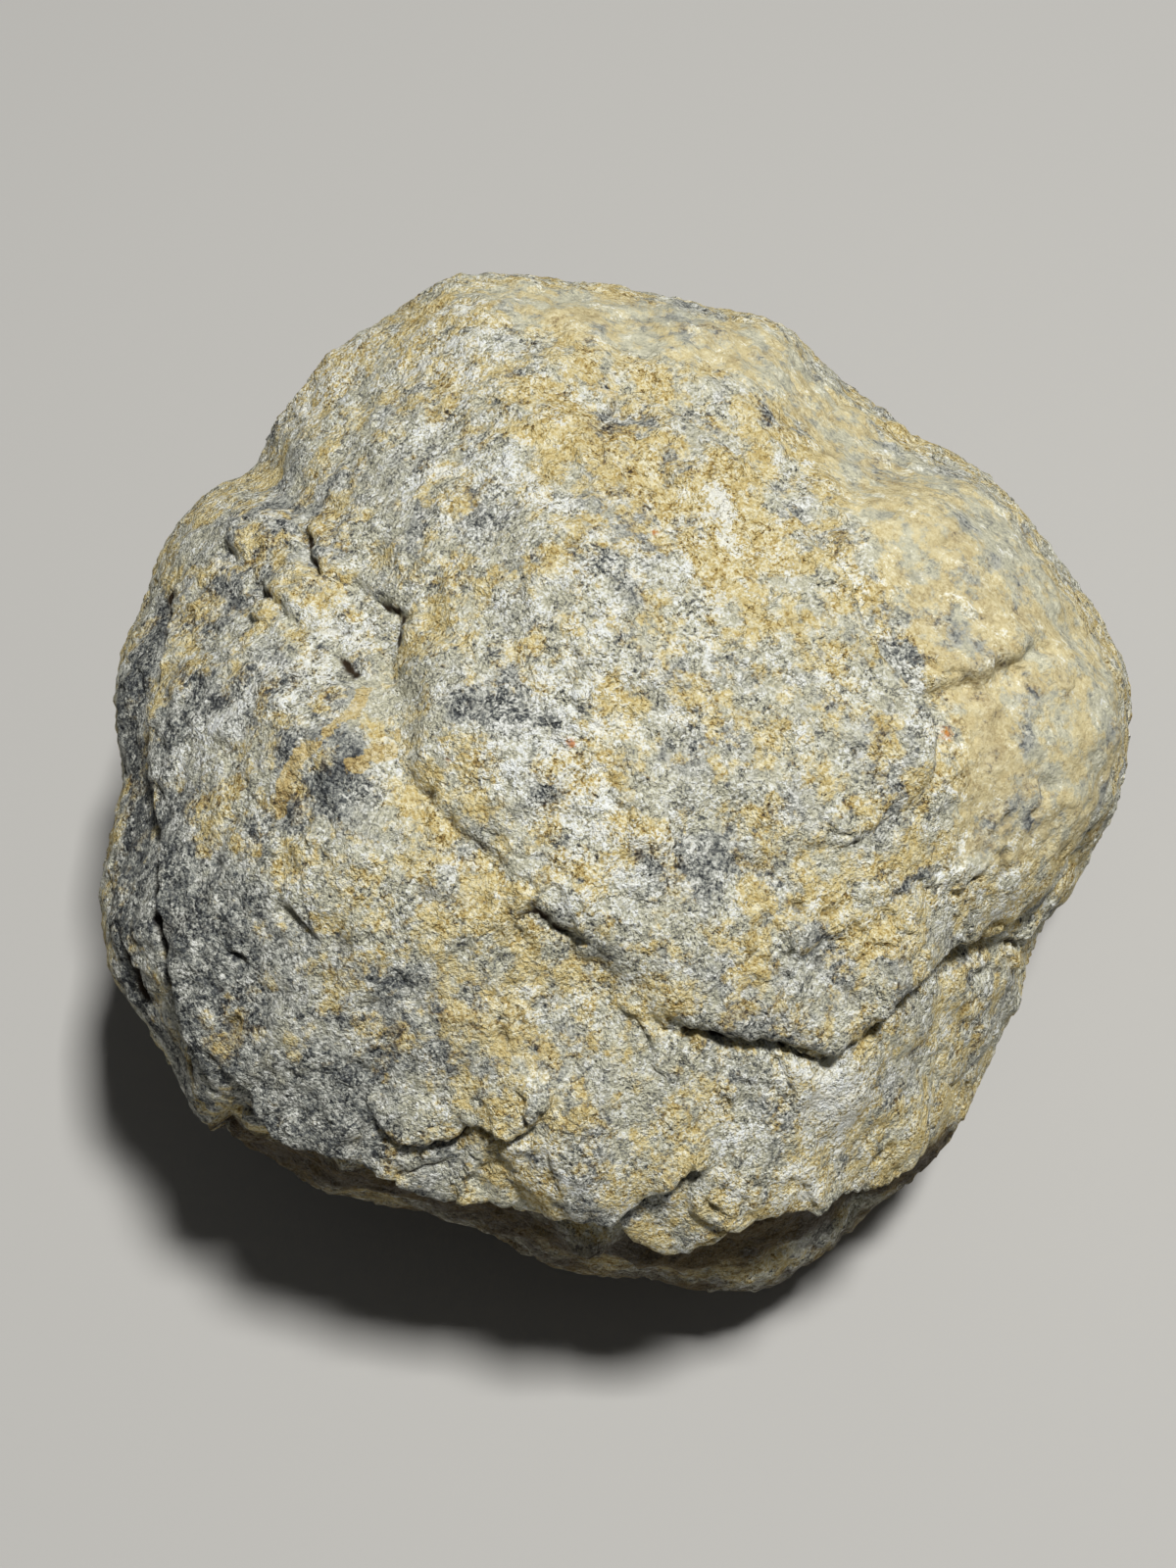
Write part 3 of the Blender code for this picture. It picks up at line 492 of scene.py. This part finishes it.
# The rind's whole surface: where each point of a ball goes, and what it carries.
class Rind:
    def __init__(self, ball):
        self.wantedRim = outlineRim()
        self.plainRim = bodyRim(onDome(ball))
        places = self.unspread([place for place, radius, rise in swells])
        self.swells = [(point, radius, rise) for point, (place, radius, rise)
                       in zip(firstMet(places), swells)]
        self.swells += [(onDome(np.array([way(turn, rise)]))[0], radius, height)
                        for turn, rise, radius, height in farSwells]
        near = [*folds.values(), *hairlines]
        lines = self.carried([fold["line"] for fold in near], [fold["rise"] for fold in near])
        self.folds = list(zip(near, lines))
        for fold in farFolds:
            ways = np.array([way(turn, rise) for turn, rise in fold["line"]])
            self.folds.append((fold, onDome(ways)))

    # Where places in the view lie before the stone is fitted to its outline.
    def unspread(self, places):
        offsets = np.asarray(places, dtype=float) - stoneMiddle
        return stoneMiddle + offsets / rimAt(self.wantedRim / self.plainRim, offsets)[:, None]

    # Lines of places in the view carried onto the dome, allowing for its lobes and a rise.
    def carried(self, lines, rises):
        counts = [len(line) for line in lines]
        rise = np.repeat(rises, counts)
        goal = self.unspread(np.concatenate(lines))
        aim = goal.copy()
        for _ in range(3):
            points = firstMet(aim)
            height = swellHeight(points, self.swells) + rise
            aim += goal - seen(points + domeFacing(points) * height[:, None])[0]
        return np.split(firstMet(aim), np.cumsum(counts)[:-1])

    # Dome point plus its facing times the sum of all heights, plus the laps, then fitted. Lines
    # bend because the points that they are measured from stray.
    def shaped(self, ball):
        points = onDome(ball)
        facing = domeFacing(points)
        stray = np.zeros_like(points)
        for size, distance, seed in (relief["wander"], relief["jitter"]):
            stray += distance * np.stack([noise(points / size, seed + axis)
                                          for axis in range(3)], axis=1)
        height = swellHeight(points, self.swells)
        # Darkness of the fold seams: crack dirt and painted shade.
        dirt = np.zeros(len(points))
        laps = np.zeros_like(points)
        broken = np.zeros(len(points))
        for fold, line in self.folds:
            bent = points + stray * fold.get("stray", 1.0)
            near, rise, dark, lap, rubble = foldLayers(bent, facing, fold, line)
            broken[near] = np.maximum(broken[near], rubble)
            height[near] += rise
            dirt[near] = np.maximum(dirt[near], dark)
            laps[near] += lap
        away = eased(*relief["farSide"], facing @ towardsEye)
        calm = eased(*relief["calm"], points[:, 2])
        calm = relief["calmLeast"] + (1.0 - relief["calmLeast"]) * calm
        lumps = sum(rise * noise(points / size, seed) for size, rise, seed in relief["lumps"])
        height += lumps * (1.0 + (relief["farGain"] - 1.0) * away) * calm
        size, rise, seed = relief["knobs"]
        fine = rise * (np.abs(noise(points / size, seed)) - relief["knobMiddle"])
        size, rise, seed = relief["crumbs"]
        fine += rise * noise(points / size, seed)
        bent = points + stray * relief["ledgeStray"]
        gain = relief["ledgeLeast"] + relief["rubble"] * broken
        for ledge in relief["ledges"]:
            fine += ledgeHeight(bent, *ledge) * gain
        fine += pitHeight(points, *relief["pits"])
        height += fine * calm
        self.dome = points
        self.facing = facing
        self.dirt = dirt
        self.fine = fine
        return fitted(points + facing * height[:, None] + laps, self.plainRim, self.wantedRim)


# Six square grids of u and v on a cube's sides, spaced by the tangent so that they are even
# on the ball, each place pushed out to length 1. Shared edges are merged by whole numbers.
def cubeBall(cells):
    steps = np.arange(cells + 1)
    u, v = np.meshgrid(steps, steps, indexing="ij")
    ids = np.arange((cells + 1) ** 2).reshape(cells + 1, cells + 1)
    quad = np.stack((ids[:-1, :-1], ids[1:, :-1], ids[1:, 1:], ids[:-1, 1:]), axis=-1)
    lattice = []
    quads = []
    for axis in range(3):
        for side in (0, 1):
            place = np.empty((cells + 1, cells + 1, 3), dtype=np.int64)
            place[..., axis] = side * cells
            place[..., (axis + 1) % 3] = u if side else v
            place[..., (axis + 2) % 3] = v if side else u
            quads.append(quad.reshape(-1, 4) + len(lattice) * ids.size)
            lattice.append(place.reshape(-1, 3))
    lattice = np.concatenate(lattice)
    codes = lattice @ np.array((1, cells + 1, (cells + 1) ** 2))
    _, first, shared = np.unique(codes, return_index=True, return_inverse=True)
    ball = np.tan((lattice[first] / cells * 2.0 - 1.0) * math.pi / 4.0)
    ball /= np.linalg.norm(ball, axis=1, keepdims=True)
    return ball, shared[np.concatenate(quads)]


def placed(name, data):
    thing = bpy.data.objects.new(name, data)
    bpy.context.scene.collection.objects.link(thing)
    return thing


# A mesh object from points in millimetres and quads, shaded smooth.
def meshObject(name, points, quads):
    mesh = bpy.data.meshes.new(name)
    mesh.vertices.add(len(points))
    mesh.vertices.foreach_set("co", (points * mm).astype(np.float32).ravel())
    mesh.loops.add(quads.size)
    mesh.loops.foreach_set("vertex_index", quads.astype(np.int32).ravel())
    mesh.polygons.add(len(quads))
    mesh.polygons.foreach_set("loop_start", np.arange(0, quads.size, 4, dtype=np.int32))
    mesh.polygons.foreach_set("use_smooth", np.ones(len(quads), dtype=bool))
    mesh.update(calc_edges=True)
    mesh.validate()
    return placed(name, mesh)


def addAttribute(mesh, name, values):
    layer = mesh.attributes.new(name, "FLOAT", "POINT")
    layer.data.foreach_set("value", values.astype(np.float32))


# Stains: a base level, noise as (size, strength, seed), and patches as (line in the view,
# width, strength); a single place is a round blot. A patch is a bell over the distance to its
# line; under is the strength where the dome faces down, a darker underside that is partly soil
# and partly painted shade.
stains = dict(
    slate=dict(base=0.2, mottle=(8.5, 0.24, 71), patches=(
        ((150, 640, 128, 760, 118, 900, 140, 1020, 190, 1110), 3.6, 0.58),
        ((182, 830, 180, 900, 186, 1000, 200, 1060), 2.6, 0.24),
        ((700, 416, 760, 456, 815, 508, 868, 565, 905, 625, 940, 678), 1.7, 0.18),
        ((225, 560, 200, 660, 195, 760), 6.5, 0.15), ((230, 1000, 250, 1080, 300, 1120), 7.5, 0.34),
        ((380, 1060, 440, 1090), 6, 0.2), ((215, 580), 4, 0.26),
        ((270, 1130, 330, 1165, 400, 1192, 470, 1208), 3.2, 0.24), ((615, 1222), 3, 0.26),
        ((200, 820), 3, 0.18), ((300, 500, 380, 500), 5, 0.12), ((690, 500), 4, 0.14),
        ((860, 1000), 5, 0.12), ((170, 820, 190, 900), 6, 0.12), ((740, 1000, 880, 980), 6, 0.12),
        ((300, 763), 1.3, 0.5), ((358, 760), 1.5, 0.45), ((240, 720, 290, 690), 3.5, 0.16),
        ((330, 560, 400, 540, 470, 530), 4.5, 0.16), ((345, 720, 345, 800), 2.2, 0.3),
        ((500, 715, 550, 745), 3.4, 0.34), ((558, 812), 1.3, 0.4),
        ((660, 870, 715, 885), 2.6, 0.36), ((805, 820), 2.2, 0.26), ((905, 915, 935, 888), 1, 0.45),
        ((625, 432, 660, 440), 2.2, 0.36), ((600, 520, 660, 560), 5, 0.1),
        ((760, 680, 860, 690), 5, 0.08), ((400, 1002, 385, 998), 1.5, 0.4), ((300, 787), 1.1, 0.5),
        ((287, 822, 300, 834), 1.1, 0.5), ((345, 792, 340, 812), 1, 0.35),
    )),
    ochre=dict(base=0.25, mottle=(7.5, 0.34, 72), patches=(
        ((390, 660, 370, 760), 4.5, -0.12), ((210, 700, 190, 860, 230, 1010, 330, 1100), 7, -0.14),
        ((250, 1045), 1.6, 0.5), ((235, 1065), 1.2, 0.45), ((220, 570), 4.5, -0.24),
        ((660, 1150), 5, -0.16), ((860, 822), 4.5, -0.22), ((530, 1110), 4, -0.12),
        ((405, 820), 3.5, -0.16), ((880, 660), 4.5, 0.18), ((540, 655), 4.5, -0.18),
        ((465, 430), 4, -0.18), ((615, 500), 4, -0.14), ((860, 1150), 4, 0.14),
        ((780, 495), 3.5, 0.14), ((255, 980, 340, 1010), 4, 0.12),
        ((820, 440, 900, 480), 4.5, 0.26), ((1010, 620, 1080, 700, 1090, 800), 7, 0.1),
        ((560, 420, 640, 480, 720, 500), 5, 0.24), ((700, 580, 800, 620), 8, 0.12),
        ((1000, 700, 1010, 780), 4, 0.22), ((860, 930, 880, 960), 4.5, 0.2),
        ((300, 400, 420, 340, 560, 330), 6, 0.16), ((270, 610, 300, 640), 2.2, 0.3),
        ((640, 1240, 760, 1200, 900, 1150), 6.5, 0.12),
        ((480, 1040, 540, 1090, 600, 1160), 5, 0.12), ((660, 1110, 720, 1150), 4, -0.1),
        ((480, 820, 560, 880), 4, 0.16),
    )),
    chalk=dict(base=0.18, mottle=(6.5, 0.24, 73), patches=(
        ((430, 490, 500, 480, 560, 510), 3, 0.32), ((470, 298), 2.2, 0.45),
        ((320, 400, 400, 350, 460, 350), 6.5, 0.34), ((460, 425), 4, 0.16),
        ((765, 1080, 800, 1085), 2.6, 0.26), ((870, 1140), 4, 0.24),
        ((560, 720, 590, 790, 600, 850), 5.5, 0.36), ((760, 1190, 860, 1200), 5, 0.3),
        ((335, 640, 390, 655), 3, 0.34), ((735, 510, 745, 560), 1.8, 0.42), ((852, 1112), 3, 0.95),
        ((850, 560, 905, 640, 940, 700), 1.6, 0.26),
        ((195, 775, 230, 730, 280, 690, 340, 680), 3, 0.36), ((620, 590, 700, 590), 6, 0.16),
        ((960, 880, 1040, 900), 4.5, 0.3), ((450, 670, 470, 740), 3, 0.16),
        ((570, 1160, 610, 1210), 3.5, 0.18), ((900, 1100, 960, 1040), 4, 0.12),
    )),
    film=dict(base=0.2, mottle=(12, 0.12, 74), patches=(
        ((560, 300, 720, 350, 860, 420, 960, 500), 8, 0.75),
        ((1000, 540, 1090, 640, 1120, 720), 10, 0.75), ((1080, 830), 9, 0.35),
        ((900, 470, 960, 600, 1010, 740, 1000, 860), 5, 0.45), ((480, 1030, 560, 1090), 5, 0.25),
        ((860, 1180), 7, 0.2),
    )),
    scab=dict(base=0.02, mottle=(4, 0.06, 76), patches=(
        ((374, 700, 360, 728, 338, 755, 312, 775, 296, 800, 288, 830), 0.9, 0.76),
        ((362, 782, 392, 765), 1, 0.76), ((398, 742), 0.9, 0.62), ((247, 1045), 0.9, 0.8),
        ((232, 1064), 0.7, 0.75), ((300, 905, 330, 870), 1.2, 0.45), ((596, 962), 0.6, 0.7),
        ((600, 392, 630, 400), 1.3, 0.5), ((430, 640), 1, 0.45),
    )),
    # Soil brown with painted shade: the wall under the front brow and the underside facing down.
    soilAndShade=dict(base=0, under=0.85, mottle=(9, 0.3, 77), patches=(
        ((250, 1174, 331, 1209, 435, 1229, 511, 1256, 560, 1273, 640, 1299, 710, 1306, 762, 1300,
        841, 1264, 900, 1222, 950, 1182), 5, 1),
        ((690, 1290, 765, 1272, 858, 1238, 920, 1205, 945, 1190), 3.8, 1),
        ((230, 1155, 300, 1195, 400, 1215, 500, 1238), 2.5, 0.8),
    )),
    rust=dict(base=0, mottle=(5, 0, 75), patches=(
        ((583, 758), 0.55, 0.9), ((457, 779), 0.5, 0.8), ((975, 745), 1.2, 0.55),
        ((640, 805), 0.5, 0.7), ((830, 645), 0.5, 0.7), ((668, 545), 0.5, 0.7),
        ((900, 470), 1.6, 0.25), ((704, 488), 0.8, 0.35),
    )),
)


# What every stain shares: how much smaller and weaker its second noise is, and the upward
# share of the dome's facing between which the underside begins and is full.
staining = dict(finerSize=0.4, finerShare=0.5, finerSeed=20, underside=(0.15, -0.50))


# One stain's strength at every point: base, noise at two sizes, its share underneath and
# its patches.
def stainLevel(rind, stain):
    points = rind.dome
    size, strength, seed = stain["mottle"]
    level = stain["base"] + strength * noise(points / size, seed)
    finer = noise(points / (size * staining["finerSize"]), seed + staining["finerSeed"])
    level += staining["finerShare"] * strength * finer
    level += stain.get("under", 0.0) * eased(*staining["underside"], rind.facing[:, 2])
    patches = stain["patches"]
    lines = rind.carried([np.reshape(line, (-1, 2)) for line, width, amount in patches],
                         [0.0] * len(patches))
    for carried, (line, width, amount) in zip(lines, patches):
        middle = (carried.min(axis=0) + carried.max(axis=0)) / 2.0
        reach = np.linalg.norm(carried - middle, axis=1).max() + 3.0 * width
        near = np.nonzero(np.sum((points - middle) ** 2, axis=1) < reach ** 2)[0]
        if len(carried) == 1:
            gap = np.linalg.norm(points[near] - carried[0], axis=1)
        else:
            gap = lineFrame(points[near], rind.facing[near], carried)[0]
        level[near] += amount * np.exp(-(gap / width) ** 2)
    return level


# sRGB steps from 0 to 255 as a linear colour.
def tint(red, green, blue):
    steps = np.array((red, green, blue)) / 255.0
    linear = np.where(steps > 0.04045, ((steps + 0.055) / 1.055) ** 2.4, steps / 12.92)
    return (*linear.tolist(), 1.0)


# The rind's three rows of colours from dark to light, as (lightness, sRGB steps), and its single
# colours. Noises are (size in millimetres, detail, roughness, seed), and sums of them are given
# by their gains; ranges are (low, high) and at times what stands at each. Flakes are drawn out
# along one way. Left is what stays of grit, bump or ochre under full film, chalk or slate.
rindFinish = dict(
    stone=((0, 47, 48, 48), (0.2, 84, 86, 85), (0.38, 138, 138, 128),
           (0.54, 181, 178, 154), (0.72, 208, 205, 181), (1, 236, 238, 233)),
    slate=((0, 38, 40, 42), (0.25, 80, 83, 84), (0.44, 128, 130, 125),
           (0.6, 166, 167, 157), (0.78, 198, 198, 187), (1, 234, 234, 227)),
    ochre=((0, 69, 52, 26), (0.2, 126, 101, 55), (0.4, 179, 153, 91),
           (0.58, 205, 185, 127), (0.76, 220, 206, 157), (1, 237, 230, 200)),
    amber=tint(255, 222, 150), scab=tint(194, 170, 116), rust=tint(196, 118, 34),
    # Next, dark brown for crack dirt and painted shade in seams and pits, and soil brown for soil
    # and painted shade under the brow and on the underside.
    dirt=tint(50, 38, 22), soilAndShade=tint(60, 43, 22), roughness=0.92, specular=0.25,
    noises=dict(grain=(0.27, 2, 0.6, 1), grainB=(0.432, 3, 0.65, 2), flake=(0.9, 3, 0.72, 3),
                crust=(1.4, 4, 0.7, 4), blotch=(2.8, 3, 0.62, 5), blotchB=(2.24, 3, 0.62, 6),
                blotchC=(3.36, 4, 0.62, 7), plate=(2.4, 3, 0.62, 9), calm=(4.2, 3, 0.6, 10)),
    flakeWay=(0.906, 0.373, 0.198), flakeLength=1.7, crumb=0.47, crumbBend=0.6,
    crumbNoise=(1, 0.5, 8), calmRange=(0.38, 0.62, 0.65, 1.2),
    plateRange=(0.488, 0.508), speckRange=(0.95, 0.97, 0, 0.3), gritLeft=0.32, bumpLeft=0.4,
    cool=dict(blotch=0.9, crust=0.5), chalkCool=-0.25, coolRange=(0.18, 0.44),
    ochreLeft=dict(chalk=0.35, slate=0.25, film=0.6), scabOchre=0.85, scabTone=0.35,
    light=0.695, speckle=dict(grain=1.3, crumbTone=0.46, flake=0.5),
    mottle=dict(crust=0.5, blotchB=0.4),
    shades=dict(slate=-0.34, film=-0.12, chalk=0.3, edge=-1.5),
    amberGains=dict(blotchB=2.6, grainB=1.2), amberRange=(1.2, 1.8, 0, 0.5),
    crumbHeight=-0.17, heights=dict(grain=0.26, flake=0.42, crust=0.7, plate=0.16),
)

# How each stain grows from its level: the gains of the noises that break up its edge, the sums
# at which it begins and is full, and the most of it that shows.
growth = dict(
    film=dict(low=0.2, high=0.9),
    slate=dict(low=0.34, high=0.86, blotch=1.5, grainB=1.1, flake=0.6),
    chalk=dict(low=0.34, high=0.7, blotchB=1.5, grain=0.9, crust=0.7),
    ochre=dict(low=0.26, high=0.58, blotchC=1.8, crust=1.4, grainB=0.3, slateLevel=-0.45),
    scab=dict(low=0.46, high=0.53, crust=0.9, blotchC=0.5),
    rust=dict(low=0.3, high=0.6, most=0.85, grainB=0.8),
    # Soil and painted shade under the front brow and on the underside.
    soilAndShade=dict(low=0.15, high=1, most=0.85, crust=1.1, blotch=0.8),
    # Dark brown laid where the fine relief sinks into pits: dust in hollows and painted shade of
    # the hollows.
    fine=dict(low=0, high=-0.45, most=0.4),
    dirt=dict(low=0.1, high=0.6),
)


# A material's node tree with short ways to add nodes and join them, and its noises by name.
class Bench:
    def __init__(self, name):
        self.material = bpy.data.materials.new(name)
        self.material.use_nodes = True
        self.tree = self.material.node_tree
        self.shader = self.tree.nodes["Principled BSDF"]
        self.noises = {}

    def join(self, value, socket):
        if isinstance(value, bpy.types.NodeSocket):
            self.tree.links.new(value, socket)
        else:
            socket.default_value = value

    def add(self, kind, output=0, settings=(), **inputs):
        node = self.tree.nodes.new(kind)
        for name, value in dict(settings).items():
            setattr(node, name, value)
        for name, value in inputs.items():
            key = int(name[1:]) if name[1:].isdigit() else name
            self.join(value, node.inputs[key])
        return node.outputs[output]

    # Noise of this size in millimetres, turned and moved by its seed.
    def noise(self, coords, size, detail, roughness, seed, output=0):
        moved = self.add("ShaderNodeMapping", Vector=coords, Rotation=(0.7, 0.5, seed),
                         Location=(seed, seed * 0.7, seed * 1.3))
        return self.add("ShaderNodeTexNoise", output=output, Vector=moved, Lacunarity=2.17,
                        Scale=1.0 / (size * mm), Detail=detail, Roughness=roughness)

    def maths(self, operation, a, b=0.0, c=0.0):
        return self.add("ShaderNodeMath", settings=dict(operation=operation), i0=a, i1=b, i2=c)

    # atLow below low, atHigh above high, and a smooth ramp between.
    def ramp(self, value, low, high, atLow=0.0, atHigh=1.0):
        return self.add("ShaderNodeMapRange", settings=dict(interpolation_type="SMOOTHSTEP"),
                        i0=value, i1=low, i2=high, i3=atLow, i4=atHigh)

    def blend(self, share, a, b, mode="MIX"):
        return self.add("ShaderNodeMix", output=2, i0=share, i6=a, i7=b,
                        settings=dict(data_type="RGBA", blend_type=mode))

    def level(self, name):
        return self.add("ShaderNodeAttribute", "Fac", dict(attribute_name=name))

    # The colour of a row at a lightness.
    def colours(self, value, row):
        node = self.tree.nodes.new("ShaderNodeValToRGB")
        stops = node.color_ramp.elements
        stops[1].position = row[1][0]
        for index, (place, *steps) in enumerate(row):
            stop = stops[index] if index < 2 else stops.new(place)
            stop.color = tint(*steps)
        self.join(value, node.inputs[0])
        return node.outputs[0]

    # Start plus each named noise's distance from one half times its gain.
    def summed(self, start, **gains):
        total = start
        for name, gain in gains.items():
            total = self.maths("MULTIPLY_ADD", self.noises[name], gain, total)
            total = self.maths("MULTIPLY_ADD", gain, -0.5, total)
        return total

    # How much of a stain shows: its level and noises summed, from none at low to most at high.
    def grown(self, name, low, high, most=1.0, **gains):
        return self.ramp(self.summed(self.level(name), **gains), low, high, 0.0, most)

    # 1 where share is 0, down to left where it is 1.
    def faded(self, share, left):
        return self.ramp(share, 0.0, 1.0, 1.0, left)


# The weathered rind. A lightness made of crumbs, flakes and blotches picks a colour from each of
# three rows: the cool share blends stone's into slate's, and ochre's shows where ochre grows.
# Slate and thin flake edges darken it and chalk lightens it. Amber, scab and rust are laid
# over; then soil brown and dark dirt, as real soil and dirt and as painted shade under the front
# brow, on the underside and in crack seams and small pits; and the same noises lift the surface.
def rindMaterial():
    finish = rindFinish
    bench = Bench("weatheredRind")
    coords = bench.add("ShaderNodeTexCoord", output="Object")
    along = Vector(finish["flakeWay"]).to_track_quat("X", "Z").to_euler()
    drawn = bench.add("ShaderNodeMapping", Vector=coords, Rotation=along,
                      Scale=(finish["flakeLength"], 1.0, 1.0),
                      settings=dict(vector_type="TEXTURE"))
    for name, values in finish["noises"].items():
        bench.noises[name] = bench.noise(drawn if name == "flake" else coords, *values)
    crumb = finish["crumb"]
    crumbPlace = bench.add("ShaderNodeVectorMath", settings=dict(operation="MULTIPLY_ADD"),
                           i0=bench.noise(coords, crumb, *finish["crumbNoise"], output=1),
                           i1=(finish["crumbBend"] * crumb * mm,) * 3, i2=coords)
    crumbs = bench.tree.nodes.new("ShaderNodeTexVoronoi")
    crumbs.inputs["Scale"].default_value = 1.0 / (crumb * mm)
    bench.join(crumbPlace, crumbs.inputs["Vector"])
    crumbTone = bench.add("ShaderNodeSeparateColor", i0=crumbs.outputs["Color"])
    plate = bench.ramp(bench.noises["plate"], *finish["plateRange"])
    bench.noises.update(crumbTone=crumbTone, plate=plate, slateLevel=bench.level("slate"))

    stain = {name: bench.grown(name, **values) for name, values in growth.items()}
    grit = bench.maths("MULTIPLY", bench.faded(stain["film"], finish["gritLeft"]),
                       bench.ramp(bench.noises["calm"], *finish["calmRange"]))
    edge = bench.maths("MULTIPLY", plate, bench.maths("SUBTRACT", 1.0, plate))
    stain["edge"] = bench.maths("MULTIPLY", edge, grit)
    cool = bench.summed(bench.level("slate"), **finish["cool"])
    cool = bench.maths("MULTIPLY_ADD", stain["chalk"], finish["chalkCool"], cool)
    ochre = stain["ochre"]
    for name, left in finish["ochreLeft"].items():
        ochre = bench.maths("MULTIPLY", ochre, bench.faded(stain[name], left))
    scabby = bench.maths("MULTIPLY", stain["scab"], finish["scabOchre"])
    ochre = bench.maths("MAXIMUM", ochre, scabby)

    light = bench.summed(0.0, **finish["speckle"])
    light = bench.maths("MULTIPLY_ADD", light, grit, finish["light"])
    light = bench.summed(light, **finish["mottle"])
    for name, gain in finish["shades"].items():
        light = bench.maths("MULTIPLY_ADD", stain[name], gain, light)
    speck = bench.maths("MULTIPLY", bench.ramp(crumbTone, *finish["speckRange"]), grit)
    light = bench.maths("SUBTRACT", light, speck)

    rows = {name: bench.colours(light, finish[name]) for name in ("stone", "slate", "ochre")}
    color = bench.blend(bench.ramp(cool, *finish["coolRange"]), rows["stone"], rows["slate"])
    color = bench.blend(ochre, color, rows["ochre"])
    amber = bench.ramp(bench.summed(ochre, **finish["amberGains"]), *finish["amberRange"])
    color = bench.blend(amber, color, finish["amber"], "MULTIPLY")
    scabby = bench.maths("MULTIPLY", stain["scab"], finish["scabTone"])
    color = bench.blend(scabby, color, finish["scab"])
    # Rust, then soil with painted shade, then dark brown as dirt and painted shade in pits and
    # seams.
    for name, over in (("rust", "rust"), ("soilAndShade", "soilAndShade"), ("fine", "dirt"), ("dirt", "dirt")):
        color = bench.blend(stain[name], color, finish[over])
    bench.join(color, bench.shader.inputs["Base Color"])
    bench.shader.inputs["Roughness"].default_value = finish["roughness"]
    bench.shader.inputs["Specular IOR Level"].default_value = finish["specular"]

    # Heights in millimetres: crumbs are round, flakes and crust are rough at every size.
    height = bench.maths("MULTIPLY_ADD", crumbs.outputs["Distance"], finish["crumbHeight"], 0.0)
    height = bench.summed(height, **finish["heights"])
    strength = bench.faded(stain["film"], finish["bumpLeft"])
    bump = bench.add("ShaderNodeBump", Strength=strength, Distance=mm, Height=height)
    bench.join(bump, bench.shader.inputs["Normal"])
    return bench.material


# The stone: its surface centred, with a flat foot, stained, and thinned to its triangles.
def buildStone():
    cells = stone["cells"]
    ball, quads = cubeBall(cells)
    rind = Rind(ball)
    points = rind.shaped(ball)
    middle = (points.min(axis=0) + points.max(axis=0)) / 2.0
    points[:, :2] -= middle[:2]
    points[:, 2] = np.maximum(points[:, 2], 0.0)  # the flat foot
    print("stone shaped from", len(points), "points, middle", middle.round(2))
    thing = meshObject("geodeRind", points, quads)
    # Stain levels; the soil and seam darkness also hold painted shade under the brow, on the
    # underside and in cracks.
    for name, stain in stains.items():
        addAttribute(thing.data, name, stainLevel(rind, stain))
    addAttribute(thing.data, "dirt", rind.dirt)
    addAttribute(thing.data, "fine", rind.fine)
    thing.data.materials.append(rindMaterial())
    faces = 2 * len(quads)
    if faces > stone["triangles"] + stone["spare"]:
        thin = thing.modifiers.new("thinned", "DECIMATE")
        thin.ratio = stone["triangles"] / faces
        thinned = bpy.data.meshes.new_from_object(
            thing.evaluated_get(bpy.context.evaluated_depsgraph_get()))
        thing.modifiers.remove(thin)
        thing.data = thinned
    print("stone has", len(thing.data.polygons), "faces")
    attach(thing, "root")
    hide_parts("geode")
    return middle


middle = buildStone()

# The floor and the studio: one small high softbox from the right and a weak fill.
studio = dict(floor=tint(180, 178, 173), floorSize=4000.0, floorRoughness=0.8, keyPower=11.0,
              keySize=130.0, keyDistance=1000.0, keyWay=(0.17, 0.0, 1.0), fill=0.06,
              fillColor=(0.93, 0.96, 1.0, 1.0))


# A flat square of one cell.
def buildFloor():
    half = studio["floorSize"] / 2.0
    corners = np.array(((-half, -half, 0.0), (half, -half, 0.0), (half, half, 0.0),
                        (-half, half, 0.0)))
    floor = meshObject("floor", corners, np.array(((0, 1, 2, 3),)))
    bench = Bench("paleFloor")
    bench.shader.inputs["Base Color"].default_value = studio["floor"]
    bench.shader.inputs["Roughness"].default_value = studio["floorRoughness"]
    floor.data.materials.append(bench.material)


def buildLight():
    lamp = bpy.data.lights.new("softbox", "AREA")
    lamp.shape = "SQUARE"
    lamp.size = studio["keySize"] * mm
    lamp.energy = studio["keyPower"]
    holder = placed("softbox", lamp)
    way = Vector(studio["keyWay"]).normalized()
    holder.location = way * studio["keyDistance"] * mm
    holder.rotation_euler = way.to_track_quat("Z", "Y").to_euler()
    world = bpy.data.worlds.new("studio")
    world.use_nodes = True
    sockets = world.node_tree.nodes["Background"].inputs
    sockets["Color"].default_value = studio["fillColor"]
    sockets["Strength"].default_value = studio["fill"]
    bpy.context.scene.world = world
    bpy.context.scene.view_settings.view_transform = "Standard"


# The camera stands where the view is laid out from, moved as the stone was when centred.
def buildCamera():
    lens = bpy.data.cameras.new("camera")
    lens.lens = view["lens"]
    lens.sensor_width = view["sensor"]
    lens.clip_start = view["nearest"] * mm
    holder = placed("camera", lens)
    spot = eye - np.array((middle[0], middle[1], 0.0))
    holder.location = Vector(spot) * mm
    holder.rotation_euler = Vector(towardsEye).to_track_quat("Z", "Y").to_euler()
    bpy.context.scene.camera = holder


buildFloor()
buildLight()
buildCamera()
print("floor, light and camera set")
